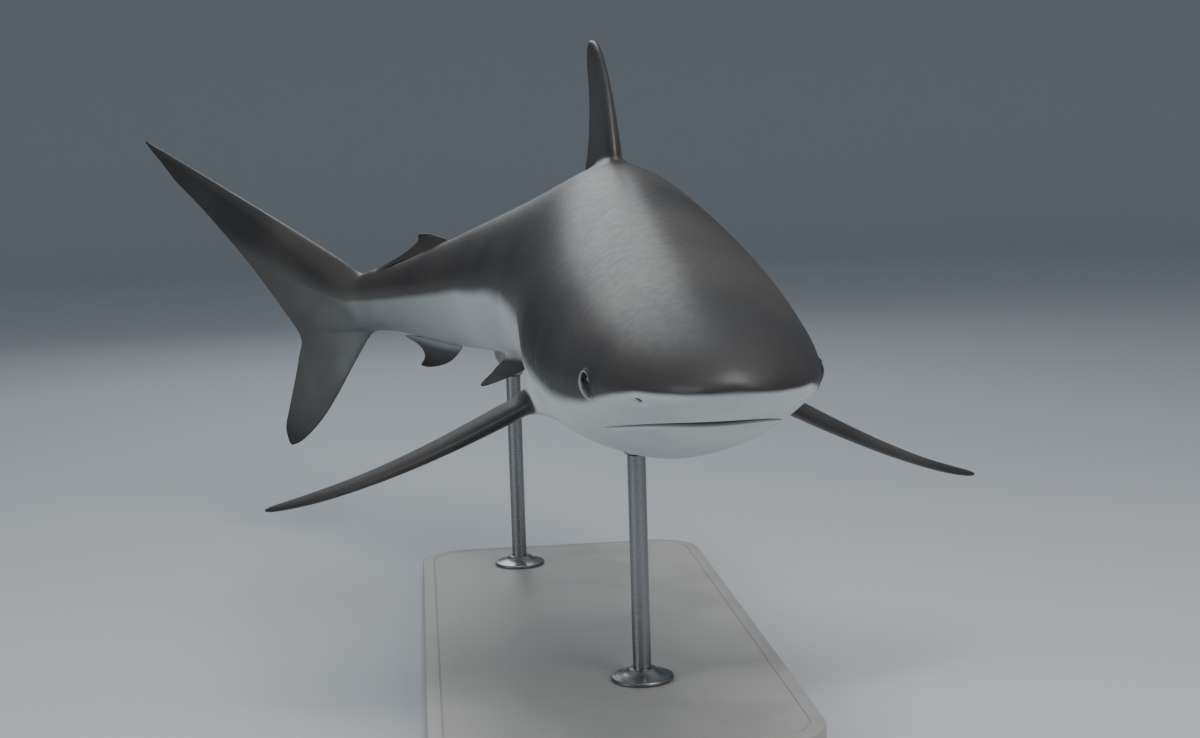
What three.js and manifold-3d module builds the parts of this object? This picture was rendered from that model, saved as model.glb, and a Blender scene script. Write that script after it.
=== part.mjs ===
// A silky shark as a still, life-size display model, held on two rods over a flat base.
//
// The frame is in millimetres, +Z up, with its origin at the middle of the base's underside.
// The head looks along -Y, the fish's right side is on -X, and the tail swings towards -X.
// A place on the fish is given by how far back it lies along the spine, and how far it is to
// the right and up from there, all as shares of the total length, so the swimming bend
// carries the fins and the rest with it.
import * as THREE from "three";
import { mergeVertices } from "three/addons/utils/BufferGeometryUtils.js";
import Module from "manifold-3d";

const wasm = await Module();
wasm.setup();

const RAD = Math.PI / 180;
const { clamp, lerp } = THREE.MathUtils;

// Driving sizes.
const TOTAL_LENGTH = 2300;
const SNOUT = new THREE.Vector3(40, -915, 470); // tip of the snout
const GAP = 0.3; // clearance between pieces that meet

// The spine runs straight back from the snout, then swings to the right and hangs a little.
const SWING = { angle: 48.6 * RAD, from: 0.299, to: 0.803 };
const DROOP = { angle: -5.5 * RAD, from: 0.35, to: 0.7 };

// Sections of the body, as shares of the total length: half the width, the height above and
// the depth below the spine, the height of the widest line, and how round the section is
// under that line. A roundness of 2 is an ellipse, and less is more peaked.
const STATIONS = [
  { at: 0, half: 0, top: 0, bottom: 0, rim: 0, under: 2.2 }, // snout tip
  { at: 0.012, half: 0.0211, top: 0.0095, bottom: 0.0074, rim: -0.0025, under: 2.2 },
  { at: 0.042, half: 0.0376, top: 0.0196, bottom: 0.0163, rim: -0.0036, under: 2.15 }, // nostrils
  { at: 0.08, half: 0.0484, top: 0.0296, bottom: 0.0283, rim: -0.0063, under: 2 }, // eyes
  { at: 0.12, half: 0.0548, top: 0.0388, bottom: 0.0438, rim: -0.0076, under: 1.92 }, // jaw corners
  { at: 0.165, half: 0.0596, top: 0.0482, bottom: 0.0526, rim: -0.0068, under: 1.85 }, // first gill slit
  { at: 0.215, half: 0.0615, top: 0.0585, bottom: 0.0568, rim: -0.0045, under: 2.1 }, // pectoral fins
  { at: 0.275, half: 0.0592, top: 0.07, bottom: 0.0572, rim: -0.001, under: 2.25 },
  { at: 0.34, half: 0.0564, top: 0.0772, bottom: 0.0562, rim: 0.003, under: 2.25 }, // first dorsal fin
  { at: 0.42, half: 0.0525, top: 0.0717, bottom: 0.0532, rim: 0.005, under: 2.25 },
  { at: 0.5, half: 0.0455, top: 0.0609, bottom: 0.048, rim: 0.006, under: 2.25 }, // pelvic fins
  { at: 0.58, half: 0.0342, top: 0.048, bottom: 0.041, rim: 0.005, under: 2.25 },
  { at: 0.64, half: 0.0256, top: 0.0363, bottom: 0.0352, rim: 0.003, under: 2.25 }, // second dorsal fin
  { at: 0.7, half: 0.0164, top: 0.0252, bottom: 0.0236, rim: 0.001, under: 2.25 },
  { at: 0.738, half: 0.0125, top: 0.0212, bottom: 0.0205, rim: 0, under: 2.25 }, // root of the tail fin
];
const ROUND_TOP = 1.8; // the roundness over the widest line
const RING_SIDES = 28;

// Where the named lengths of the body part.
const HEAD_END = 0.215;
const TRUNK_END = 0.6;
const TAIL_END = 0.72;

// Helpers.

function smoothstep(from, to, x) {
  const t = clamp((x - from) / (to - from), 0, 1);
  return t * t * (3 - 2 * t);
}

// A smooth curve through points of two columns, read at x.
function curveThrough(xs, ys, x) {
  const last = xs.length - 1;
  let i = 0;
  while (i < last - 1 && x > xs[i + 1]) i++;
  const slope = (j) => {
    const [a, b] = [Math.max(j - 1, 0), Math.min(j + 1, last)];
    return (ys[b] - ys[a]) / (xs[b] - xs[a]);
  };
  const span = xs[i + 1] - xs[i];
  const t = clamp((x - xs[i]) / span, 0, 1);
  const [t2, t3] = [t * t, t * t * t];
  return (
    (2 * t3 - 3 * t2 + 1) * ys[i] +
    (t3 - 2 * t2 + t) * span * slope(i) +
    (3 * t2 - 2 * t3) * ys[i + 1] +
    (t3 - t2) * span * slope(i + 1)
  );
}

// One column of the stations at a place on the spine. The curve runs over the root of the
// place, which rounds the snout tip off.
const stationRoots = STATIONS.map((station) => Math.sqrt(station.at));

function bodySize(key, at) {
  const column = STATIONS.map((station) => station[key]);
  return curveThrough(stationRoots, column, Math.sqrt(Math.max(at, 0)));
}

// A manifold-3d solid from its corners and faces, turned right side out.
function solidFrom(points, faces) {
  const made = new wasm.Manifold(
    new wasm.Mesh({
      numProp: 3,
      vertProperties: new Float32Array(points.flatMap((p) => p.toArray())),
      triVerts: new Uint32Array(faces),
    }),
  );
  if (made.volume() > 0) return made;
  const turned = [];
  for (let i = 0; i < faces.length; i += 3) {
    turned.push(faces[i], faces[i + 2], faces[i + 1]);
  }
  return solidFrom(points, turned);
}

function solidOf(geometry) {
  const bare = new THREE.BufferGeometry();
  bare.setAttribute("position", geometry.getAttribute("position"));
  if (geometry.index) bare.setIndex(geometry.index);
  const merged = mergeVertices(bare, 1e-3);
  return new wasm.Manifold(
    new wasm.Mesh({
      numProp: 3,
      vertProperties: merged.attributes.position.array,
      triVerts: new Uint32Array(merged.index.array),
    }),
  );
}

// A closed skin over a row of rings, with a flat cap at each end.
function skinOver(rings) {
  const count = rings[0].length;
  const points = rings.flat();
  const faces = [];
  for (let r = 0; r < rings.length - 1; r++) {
    for (let i = 0; i < count; i++) {
      const [a, b] = [r * count + i, r * count + ((i + 1) % count)];
      faces.push(a, b + count, b, a, a + count, b + count);
    }
  }
  const addCentre = (ring) => {
    const centre = new THREE.Vector3();
    ring.forEach((p) => centre.add(p));
    return points.push(centre.divideScalar(count)) - 1;
  };
  const front = addCentre(rings[0]);
  const rear = addCentre(rings[rings.length - 1]);
  const lastRing = (rings.length - 1) * count;
  for (let i = 0; i < count; i++) {
    const next = (i + 1) % count;
    faces.push(front, i, next);
    faces.push(rear, lastRing + next, lastRing + i);
  }
  return solidFrom(points, faces);
}

// The largest body of a solid that a cut has left in several.
function mainBody(solid) {
  const bodies = solid.decompose();
  bodies.sort((a, b) => b.volume() - a.volume());
  return bodies[0];
}

// The spine, walked in short steps from the snout.
const SPINE_STEPS = 400;
const spinePoints = [SNOUT.clone()];

function spineAxes(at) {
  const yaw = SWING.angle * smoothstep(SWING.from, SWING.to, at);
  const pitch = DROOP.angle * smoothstep(DROOP.from, DROOP.to, at);
  const back = new THREE.Vector3(
    -Math.sin(yaw) * Math.cos(pitch),
    Math.cos(yaw) * Math.cos(pitch),
    Math.sin(pitch),
  );
  const right = new THREE.Vector3(-Math.cos(yaw), -Math.sin(yaw), 0);
  const up = new THREE.Vector3().crossVectors(back, right);
  return { back, right, up };
}

for (let i = 0; i < SPINE_STEPS; i++) {
  const { back } = spineAxes((i + 0.5) / SPINE_STEPS);
  const step = back.multiplyScalar(TOTAL_LENGTH / SPINE_STEPS);
  spinePoints.push(spinePoints[i].clone().add(step));
}

function bodyPoint(at, right, up) {
  const x = clamp(at, 0, 1) * SPINE_STEPS;
  const i = Math.min(Math.floor(x), SPINE_STEPS - 1);
  const axes = spineAxes(at);
  return spinePoints[i]
    .clone()
    .lerp(spinePoints[i + 1], x - i)
    .addScaledVector(axes.right, right * TOTAL_LENGTH)
    .addScaledVector(axes.up, up * TOTAL_LENGTH);
}

// Head, trunk and tail.

// A section's outline as pairs of [right, up] about its middle. `above` and `below` are
// measured from its widest line, and `under` is the roundness below it.
function sectionOutline(half, above, below, under) {
  const outline = [];
  const rounded = (value, power) => Math.sign(value) * Math.abs(value) ** (2 / power);
  for (let i = 0; i < RING_SIDES; i++) {
    const angle = (i / RING_SIDES) * 2 * Math.PI;
    const [height, power] = i < RING_SIDES / 2 ? [above, ROUND_TOP] : [below, under];
    outline.push([
      half * rounded(Math.cos(angle), power),
      height * rounded(Math.sin(angle), power),
    ]);
  }
  return outline;
}

function bodyRing(at, grow = 0) {
  const extra = grow / TOTAL_LENGTH;
  const rim = bodySize("rim", at);
  const outline = sectionOutline(
    bodySize("half", at) + extra,
    bodySize("top", at) - rim + extra,
    bodySize("bottom", at) + rim + extra,
    bodySize("under", at),
  );
  return outline.map(([right, up]) => bodyPoint(at, right, rim + up));
}

// The body's rings lie closer together towards the snout.
const HEAD_RINGS = ringPlaces(0, HEAD_END, 17);
const TRUNK_RINGS = ringPlaces(HEAD_END, TRUNK_END, 14);
const TAIL_RINGS = ringPlaces(TRUNK_END, TAIL_END, 6);

function ringPlaces(from, to, steps) {
  const places = [];
  for (let i = 0; i <= steps; i++) {
    places.push(lerp(Math.sqrt(from), Math.sqrt(to), i / steps) ** 2);
  }
  return places;
}

// A length of the body, short of the next one by the gap.
function bodyLength(places) {
  const end = places[places.length - 1] - GAP / TOTAL_LENGTH;
  return skinOver([...places.slice(0, -1), end].map((at) => bodyRing(at)));
}

// The eyes, set in sockets on the sides of the head.
// They look a little forwards and down.
const EYE = {
  at: 0.0725,
  up: -0.0055,
  depth: 9.5,
  radius: 13.2,
  inset: 8.2,
  turn: 17 * RAD,
  tip: 11 * RAD,
};

function eyeSolid(side, grow = 0) {
  const ball = new THREE.SphereGeometry(1, 16, 9);
  const size = EYE.radius + grow;
  ball.rotateZ(Math.PI / 2); // the poles lie on the line of sight
  ball.scale(EYE.depth + grow, size, size);
  ball.rotateY(-side * EYE.tip);
  ball.rotateZ(side * EYE.turn);
  const out = bodySize("half", EYE.at) - EYE.inset / TOTAL_LENGTH;
  const { x, y, z } = bodyPoint(EYE.at, side * out, EYE.up);
  return solidOf(ball.translate(x, y, z));
}

// How low the underside lies at a distance out from the middle.
function undersideAt(at, right) {
  const rim = bodySize("rim", at);
  const power = bodySize("under", at);
  const share = clamp(right / bodySize("half", at), 0, 1);
  return rim - (bodySize("bottom", at) + rim) * (1 - share ** power) ** (1 / power);
}

// The lower jaw fills the curve of the mouth, under the snout, and the mouth's corners lie
// behind its front. The jaw is as deep as `skin` at its edge.
const JAW = { front: 0.0545, corner: 0.108, half: 0.0395, curve: 2.4, rear: 0.128, skin: 0.0006 };
const JAW_DEPTH = 0.06; // how far down the jaw's tool reaches
const JAW_STEPS = 10;

function jawTool(grow) {
  const extra = grow / TOTAL_LENGTH;
  const rings = [];
  for (let i = 0; i <= JAW_STEPS; i++) {
    const along = (i / JAW_STEPS) ** 2;
    const share = lerp(0.004, (JAW.rear - JAW.front) / (JAW.corner - JAW.front), along);
    const at = JAW.front + (JAW.corner - JAW.front) * share;
    const half = JAW.half * share ** (1 / JAW.curve) + extra;
    const roof = undersideAt(at, half) + JAW.skin + extra;
    const place = at + (i === 0 ? -extra : i === JAW_STEPS ? extra : 0);
    rings.push([
      bodyPoint(place, half, roof),
      bodyPoint(place, -half, roof),
      bodyPoint(place, -half, -JAW_DEPTH),
      bodyPoint(place, half, -JAW_DEPTH),
    ]);
  }
  return skinOver(rings);
}

// Five gill slits on each side, cut as thin curved blades. The front ones are the longest.
const GILLS = { count: 5, first: 0.167, pitch: 0.0098, middleUp: -0.004, long: 0.035, short: 0.026 };
const GILL_CUT = { width: 1.4, depth: 7, bow: 0.0035, steps: 4 };

function gillTool(index, side) {
  const at = GILLS.first + index * GILLS.pitch;
  const length = lerp(GILLS.long, GILLS.short, index / (GILLS.count - 1));
  const rings = [];
  for (let i = 0; i <= GILL_CUT.steps; i++) {
    const t = (i / GILL_CUT.steps) * 2 - 1;
    const up = GILLS.middleUp + (t * length) / 2;
    const place = at + GILL_CUT.bow * (1 - t * t) - 0.002 * t;
    const surface = sideOfBody(place, up);
    const deep = surface - (GILL_CUT.depth * (1.15 - t * t)) / TOTAL_LENGTH;
    const clear = surface + 4 / TOTAL_LENGTH;
    const wide = GILL_CUT.width / 2 / TOTAL_LENGTH;
    rings.push([
      bodyPoint(place - wide, side * deep, up),
      bodyPoint(place + wide, side * deep, up),
      bodyPoint(place + wide * 2, side * clear, up),
      bodyPoint(place - wide * 2, side * clear, up),
    ]);
  }
  return skinOver(rings);
}

// How far out the body's side lies at a height.
function sideOfBody(at, up) {
  const rim = bodySize("rim", at);
  const over = up > rim;
  const reach = over ? bodySize("top", at) - rim : bodySize("bottom", at) + rim;
  const power = over ? ROUND_TOP : bodySize("under", at);
  const share = clamp(Math.abs(up - rim) / reach, 0, 1);
  return bodySize("half", at) * (1 - share ** power) ** (1 / power);
}

// Fins.
//
// A fin is drawn in rows, from its root to its tip. `h` is the share of the fin's height,
// and for each row the fin's own functions give its leading and trailing edges, measured
// backwards from the front of the root as shares of the total length. place(x, h, off) puts
// a point of the row in space, `off` millimetres to one side of the fin's middle plane.
const FOIL_POINTS = 8; // along each side of a row's section
const EDGE = 1.1; // half the thickness that is left at a trailing edge

// Half the thickness of a streamlined section of unit chord and unit thickness.
function foil(u) {
  return 5 * (0.2969 * Math.sqrt(u) - 0.126 * u - 0.3516 * u ** 2 + 0.2843 * u ** 3 - 0.1036 * u ** 4);
}

function finSolid({ rows, rowAt, leading, trailing, thickness, place }) {
  const rings = [];
  for (let r = 0; r <= rows; r++) {
    const h = rowAt(r / rows);
    const front = leading(h);
    const chord = Math.max(trailing(h) - front, 0.0015);
    const thick = Math.min(thickness(h), 0.3 * chord * TOTAL_LENGTH);
    const edge = Math.min(EDGE, thick / 2);
    const side = (sign, from, to) => {
      const points = [];
      for (let i = from; i !== to; i += sign) {
        const u = (1 - Math.cos((Math.PI * i) / FOIL_POINTS)) / 2;
        points.push(place(front + u * chord, h, sign * (thick * foil(u) + edge * u)));
      }
      return points;
    };
    rings.push([...side(1, 0, FOIL_POINTS + 1), ...side(-1, FOIL_POINTS, 0)]);
  }
  return skinOver(rings);
}

// Rows that close up towards the tip, so that the tip comes out round.
function rowsTowardsTip(from) {
  return (t) => lerp(from, 1, Math.sin((t * Math.PI) / 2));
}

// The edges of an upright fin. All are shares of the total length, apart from the shares of
// the fin's height `tipFrom`, where the rounded tip begins, and `notch`, where the free rear
// tip lies. `lean` is how far back the tip lies, `bow` how far the leading edge swells
// forwards, `hollow` the depth of the trailing edge, `reach` how far the free rear tip lies
// behind the root, and `tip` the width of the fin at tipFrom.
function finEdges({ base, lean, bow, hollow, reach, tip, tipFrom, notch }) {
  const rounding = (h) => {
    const t = clamp((h - tipFrom) / (1 - tipFrom), 0, 1);
    return (1 - Math.sqrt(1 - t * t)) * (tip / 2);
  };
  const leading = (h) => {
    const k = Math.max(h, 0);
    return (lean - tip / 2) * k - 4 * bow * k * (1 - k) + rounding(h);
  };
  const trailing = (h) => {
    if (h <= 0) return base;
    if (h < notch) return base + reach * Math.sqrt(h / notch);
    const k = (h - notch) / (1 - notch);
    return lerp(base + reach, lean + tip / 2, k) - 4 * hollow * k * (1 - k) - rounding(h);
  };
  return { leading, trailing };
}

// A fin on the middle line of the back (side 1) or of the belly (side -1). Its free rear
// tip sinks by `droop` towards the body, and leans over to the right by `flop`. `skew`
// turns the fin about its front, towards the left, and `heel` leans its tip to the right.
function midlineFin(fin) {
  const { leading, trailing } = finEdges(fin);
  const key = fin.side > 0 ? "top" : "bottom";
  return finSolid({
    rows: fin.rows,
    rowAt: rowsTowardsTip(-fin.sink / fin.height),
    leading,
    trailing,
    thickness: (h) => fin.thick * (1 - 0.72 * clamp(h, 0, 1)),
    place: (x, h, off) => {
      const behind = clamp((x - fin.base) / fin.reach, 0, 1);
      const foot = bodySize(key, fin.at + clamp(x, 0, fin.base + fin.reach));
      const across = off / TOTAL_LENGTH + fin.flop * behind ** 2 - fin.skew * x + fin.heel * h;
      return bodyPoint(fin.at + x, across, fin.side * (foot - fin.droop * behind ** 2 + fin.height * h));
    },
  });
}

const FIRST_DORSAL = {
  at: 0.341,
  side: 1,
  height: 0.0763,
  sink: 0.012,
  thick: 27,
  rows: 10,
  base: 0.09,
  lean: 0.085,
  bow: 0.0095,
  hollow: 0.0125,
  reach: 0.029,
  tip: 0.0335,
  tipFrom: 0.8,
  notch: 0.08,
  droop: 0,
  flop: 0,
  skew: 0.065,
  heel: 0.0022,
};
const SECOND_DORSAL = {
  at: 0.638,
  side: 1,
  height: 0.0135,
  sink: 0.006,
  thick: 10,
  rows: 7,
  base: 0.029,
  lean: 0.032,
  bow: 0.001,
  hollow: 0.018,
  reach: 0.0455,
  tip: 0.011,
  tipFrom: 0.7,
  notch: 0.14,
  droop: 0.0035,
  flop: 0.0068,
  skew: 0,
  heel: 0,
};
const ANAL_FIN = {
  at: 0.634,
  side: -1,
  height: 0.0225,
  sink: 0.006,
  thick: 11,
  rows: 8,
  base: 0.034,
  lean: 0.046,
  bow: 0.004,
  hollow: 0.017,
  reach: 0.028,
  tip: 0.026,
  tipFrom: 0.5,
  notch: 0.12,
  droop: 0,
  flop: 0,
  skew: 0,
  heel: 0,
};

// A paired fin grows out sideways. Its root runs along the body from `at`, at the height
// `up`, and starts `inset` inside the body. Its span drops at `drop` and bends by `curl`,
// `twist` lowers its trailing edge, and `wash` turns the front edge of its outer half down.
function pairedFin(fin, side) {
  const { leading, trailing } = finEdges(fin);
  const root = sideOfBody(fin.at + fin.base / 2, fin.up) - fin.inset;
  return finSolid({
    rows: fin.rows,
    rowAt: rowsTowardsTip(0),
    leading,
    trailing,
    thickness: (h) => fin.thick * (1 - 0.86 * h),
    place: (x, h, off) => {
      const slope = fin.drop + fin.curl * h;
      const normal = off / TOTAL_LENGTH;
      const middle = lerp(fin.base / 2, fin.lean, h);
      const turn = (x - middle) * Math.sin(fin.wash * h) - x * Math.sin(fin.twist);
      return bodyPoint(
        fin.at + x,
        side * (root + fin.span * h * Math.cos(slope) + normal * Math.sin(slope)),
        fin.up - fin.span * h * Math.sin(slope) + turn + normal * Math.cos(slope),
      );
    },
  });
}

const PECTORAL = {
  at: 0.2165,
  up: -0.0245,
  inset: 0.016,
  span: 0.1655,
  drop: 28 * RAD,
  curl: -5.5 * RAD,
  twist: 6 * RAD,
  wash: 12 * RAD,
  thick: 26,
  rows: 10,
  base: 0.056,
  lean: 0.115,
  bow: 0.012,
  hollow: 0.016,
  reach: 0.022,
  tip: 0.017,
  tipFrom: 0.75,
  notch: 0.22,
};
const PELVIC = {
  at: 0.49,
  up: -0.0405,
  inset: 0.014,
  span: 0.04,
  drop: 26 * RAD,
  curl: 0,
  twist: 0,
  wash: 0,
  thick: 10,
  rows: 6,
  base: 0.043,
  lean: 0.033,
  bow: 0.003,
  hollow: 0.004,
  reach: 0.016,
  tip: 0.018,
  tipFrom: 0.7,
  notch: 0.35,
};

// The tail fin: the body's last stretch turns up along the upper edge and thins out, with
// a blade for each lobe. A lobe's axis runs from its root to its tip, its rows lie across
// the axis, and `widths` says how wide it is at each of the `shares` of its length.
const UPPER_LOBE = {
  at: 0.736,
  up: 0.0212,
  along: 0.2176,
  rise: 0.1246,
  bow: 0.0012,
  bowPower: 0.7,
  rows: 12,
  thick: 30,
  shares: [0, 0.157, 0.4, 0.53, 0.67, 0.77, 0.82, 0.87, 0.93, 0.97, 1],
  widths: [0.064, 0.0686, 0.0472, 0.0364, 0.0264, 0.0196, 0.0172, 0.0124, 0.007, 0.0034, 0.001],
};
const LOWER_LOBE = {
  at: 0.7277,
  up: -0.019,
  along: 0.1005,
  rise: -0.087,
  bow: 0.0068,
  bowPower: 1.7,
  rows: 8,
  thick: 20,
  shares: [0, 0.49, 0.64, 0.764, 0.874, 0.95, 1],
  widths: [0.05, 0.0496, 0.0418, 0.0337, 0.0248, 0.0172, 0.0078],
};

function lobeFrame({ at, up, along, rise }) {
  const length = Math.hypot(along, rise);
  const [forth, climb] = [along / length, rise / length];
  const point = (h, x) => [
    at + along * h + Math.abs(climb) * x,
    up + rise * h - Math.sign(climb) * forth * x,
  ];
  return point;
}

function tailLobe(lobe) {
  const point = lobeFrame(lobe);
  const leading = (h) => -lobe.bow * Math.sin(Math.PI * h ** lobe.bowPower);
  return finSolid({
    rows: lobe.rows,
    rowAt: rowsTowardsTip(0),
    leading,
    trailing: (h) => leading(h) + curveThrough(lobe.shares, lobe.widths, h),
    thickness: (h) => lobe.thick * (1 - h) ** 1.2 + 4,
    place: (x, h, off) => {
      const [at, up] = point(h, x);
      return bodyPoint(at, off / TOTAL_LENGTH, up);
    },
  });
}

// The fleshy ridge that carries the body on into the upper lobe.
const RIDGE = {
  steps: 9,
  length: 0.9,
  turnOver: 0.2,
  half: [0.0127, 0.0012],
  depth: [0.0209, 0.003],
  under: 2.25,
};

function tailRidge() {
  const point = lobeFrame(UPPER_LOBE);
  const rings = [bodyRing(TAIL_END), bodyRing((TAIL_END + UPPER_LOBE.at) / 2)];
  for (let i = 0; i <= RIDGE.steps; i++) {
    const t = i / RIDGE.steps;
    const h = RIDGE.length * t;
    const shrink = 1 - (1 - t) ** 1.6;
    const depth = lerp(...RIDGE.depth, shrink);
    const [edgeAt, edgeUp] = point(h, -UPPER_LOBE.bow * Math.sin(Math.PI * h ** UPPER_LOBE.bowPower));
    const tilt = Math.atan2(UPPER_LOBE.rise, UPPER_LOBE.along) * smoothstep(0, RIDGE.turnOver, t);
    const outline = sectionOutline(lerp(...RIDGE.half, shrink), depth, depth, RIDGE.under);
    rings.push(
      outline.map(([right, up]) => {
        const below = depth - up;
        return bodyPoint(edgeAt + Math.sin(tilt) * below, right, edgeUp - Math.cos(tilt) * below);
      }),
    );
  }
  return skinOver(rings);
}

// All that lies below the level of the tail's fork.
const FORK = { up: -0.0203, from: 0.7, to: 0.9, half: 0.05, depth: 0.16, steps: 8 };

function belowFork(grow) {
  const roof = FORK.up + grow / TOTAL_LENGTH;
  const rings = [];
  for (let i = 0; i <= FORK.steps; i++) {
    const at = lerp(FORK.from, FORK.to, i / FORK.steps);
    rings.push([
      bodyPoint(at, FORK.half, roof),
      bodyPoint(at, -FORK.half, roof),
      bodyPoint(at, -FORK.half, -FORK.depth),
      bodyPoint(at, FORK.half, -FORK.depth),
    ]);
  }
  return skinOver(rings);
}

// The stand: a flat base, and two rods with a foot on the base and a cup at the belly.
const BASE = { length: 1000, width: 440, height: 30, corner: 70, chamfer: 3 };
const ROD = { radius: 11, sides: 20 };
const ROD_PLACES = { front: 0.29, rear: 0.57 };
const FOOT = { radius: 38, height: 14, lip: 4 };
const CUP = { radius: 28, height: 34, lip: 5 };

function baseGeometry() {
  const { length, width, corner, chamfer } = BASE;
  const [x, y, r] = [width / 2 - chamfer, length / 2 - chamfer, corner - chamfer];
  const outline = new THREE.Shape();
  outline.absarc(x - r, y - r, r, 0, Math.PI / 2);
  outline.absarc(r - x, y - r, r, Math.PI / 2, Math.PI);
  outline.absarc(r - x, r - y, r, Math.PI, 1.5 * Math.PI);
  outline.absarc(x - r, r - y, r, 1.5 * Math.PI, 2 * Math.PI);
  const slab = new THREE.ExtrudeGeometry(outline, {
    depth: BASE.height - 2 * chamfer,
    bevelThickness: chamfer,
    bevelSize: chamfer,
    bevelSegments: 1,
    curveSegments: 5,
  });
  return slab.translate(0, 0, chamfer);
}

// A turned solid about the upright line of a rod, from pairs of [radius, height].
function turned(profile, x, y, z) {
  const points = profile.map(([radius, height]) => new THREE.Vector2(radius, height));
  const lathe = new THREE.LatheGeometry(points, ROD.sides);
  return solidOf(lathe.rotateX(Math.PI / 2).translate(x, y, z));
}

function standPieces(place) {
  const { x, y, z } = bodyPoint(place, 0, 0);
  const belly = z - bodySize("bottom", place) * TOTAL_LENGTH;
  const cupFoot = belly - CUP.height;
  const { radius } = ROD;
  const bore = radius + GAP;
  const rodFoot = BASE.height + GAP;
  const rodHeight = cupFoot - GAP - rodFoot;
  const footProfile = [
    [bore, 0],
    [FOOT.radius, 0],
    [FOOT.radius, FOOT.lip],
    [radius + 6, FOOT.height],
    [bore, FOOT.height],
    [bore, 0],
  ];
  const cupProfile = [
    [0, 0],
    [radius + 4, 0],
    [CUP.radius, CUP.height - CUP.lip],
    [CUP.radius, CUP.height + CUP.radius],
    [0, CUP.height + CUP.radius],
  ];
  const foot = turned(footProfile, x, y, rodFoot);
  const cup = turned(cupProfile, x, y, cupFoot);
  const rod = turned([[0, 0], [radius, 0], [radius, rodHeight], [0, rodHeight]], x, y, rodFoot);
  return { foot, rod, cup };
}

// Named meshes.
const model = new THREE.Group();

function addMesh(name, geometry, finish) {
  const mesh = new THREE.Mesh(geometry, new THREE.MeshStandardMaterial(finish));
  mesh.name = name;
  model.add(mesh);
}

function addSolid(name, solid, finish) {
  const mesh = solid.getMesh();
  const positions = new Float32Array(mesh.numVert * 3);
  for (let i = 0; i < mesh.numVert; i++) {
    const from = i * mesh.numProp;
    positions.set(mesh.vertProperties.subarray(from, from + 3), i * 3);
  }
  const geometry = new THREE.BufferGeometry();
  geometry.setAttribute("position", new THREE.BufferAttribute(positions, 3));
  geometry.setIndex(new THREE.BufferAttribute(mesh.triVerts, 1));
  geometry.computeVertexNormals();
  addMesh(name, geometry, finish);
}

const SKIN = { color: 0x55524e, roughness: 0.4, metalness: 0 };
const BELLY = { color: 0xd8d9d6, roughness: 0.4, metalness: 0 };
const DARK_EYE = { color: 0x14120f, roughness: 0.08, metalness: 0 };
const STEEL = { color: 0xb4b6b8, roughness: 0.3, metalness: 1 };
const PAINT = { color: 0xc9c8c4, roughness: 0.5, metalness: 0 };

const SIDES = [["right", 1], ["left", -1]];

// The body: its head is cut for the jaw, the eyes and the gill slits.
let head = bodyLength(HEAD_RINGS);
const jaw = head.intersect(jawTool(0));
head = head.subtract(jawTool(GAP));
for (const [, side] of SIDES) {
  head = head.subtract(eyeSolid(side, GAP));
  for (let i = 0; i < GILLS.count; i++) head = head.subtract(gillTool(i, side));
}
addSolid("head", mainBody(head), SKIN);
addSolid("lower_jaw", mainBody(jaw), BELLY);
addSolid("trunk", bodyLength(TRUNK_RINGS), SKIN);
addSolid("tail", bodyLength(TAIL_RINGS), SKIN);

const tailFin = tailRidge().add(tailLobe(UPPER_LOBE)).add(tailLobe(LOWER_LOBE));
addSolid("caudal_fin_upper", mainBody(tailFin.subtract(belowFork(GAP))), SKIN);
addSolid("caudal_fin_lower", mainBody(tailFin.intersect(belowFork(0))), SKIN);

// What grows from the body or holds it is cut back to just clear of it.
const bodyRings = [...HEAD_RINGS, ...TRUNK_RINGS.slice(1), ...TAIL_RINGS.slice(1)];
const clearance = skinOver(bodyRings.map((at) => bodyRing(at, GAP)));
const clearOfBody = (solid) => mainBody(solid.subtract(clearance));

addSolid("dorsal_fin_first", clearOfBody(midlineFin(FIRST_DORSAL)), SKIN);
addSolid("dorsal_fin_second", clearOfBody(midlineFin(SECOND_DORSAL)), SKIN);
addSolid("anal_fin", clearOfBody(midlineFin(ANAL_FIN)), SKIN);
for (const [name, side] of SIDES) {
  addSolid(`pectoral_fin_${name}`, clearOfBody(pairedFin(PECTORAL, side)), SKIN);
  addSolid(`pelvic_fin_${name}`, clearOfBody(pairedFin(PELVIC, side)), SKIN);
  addSolid(`eye_${name}`, eyeSolid(side), DARK_EYE);
}

addMesh("stand_base", baseGeometry(), PAINT);
for (const [name, place] of Object.entries(ROD_PLACES)) {
  const { foot, rod, cup } = standPieces(place);
  addSolid(`stand_foot_${name}`, foot, STEEL);
  addSolid(`stand_rod_${name}`, rod, STEEL);
  addSolid(`stand_cup_${name}`, clearOfBody(cup), STEEL);
}

export default model;
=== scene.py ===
# A silky shark as a still display model on a stand: its looks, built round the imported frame.
# The head looks along -Y, the fish's right side is on -X, and all sizes are in metres or in
# shares of the fish's total length.
import math

import bpy
import numpy as np
from mathutils import Matrix, Vector


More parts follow.
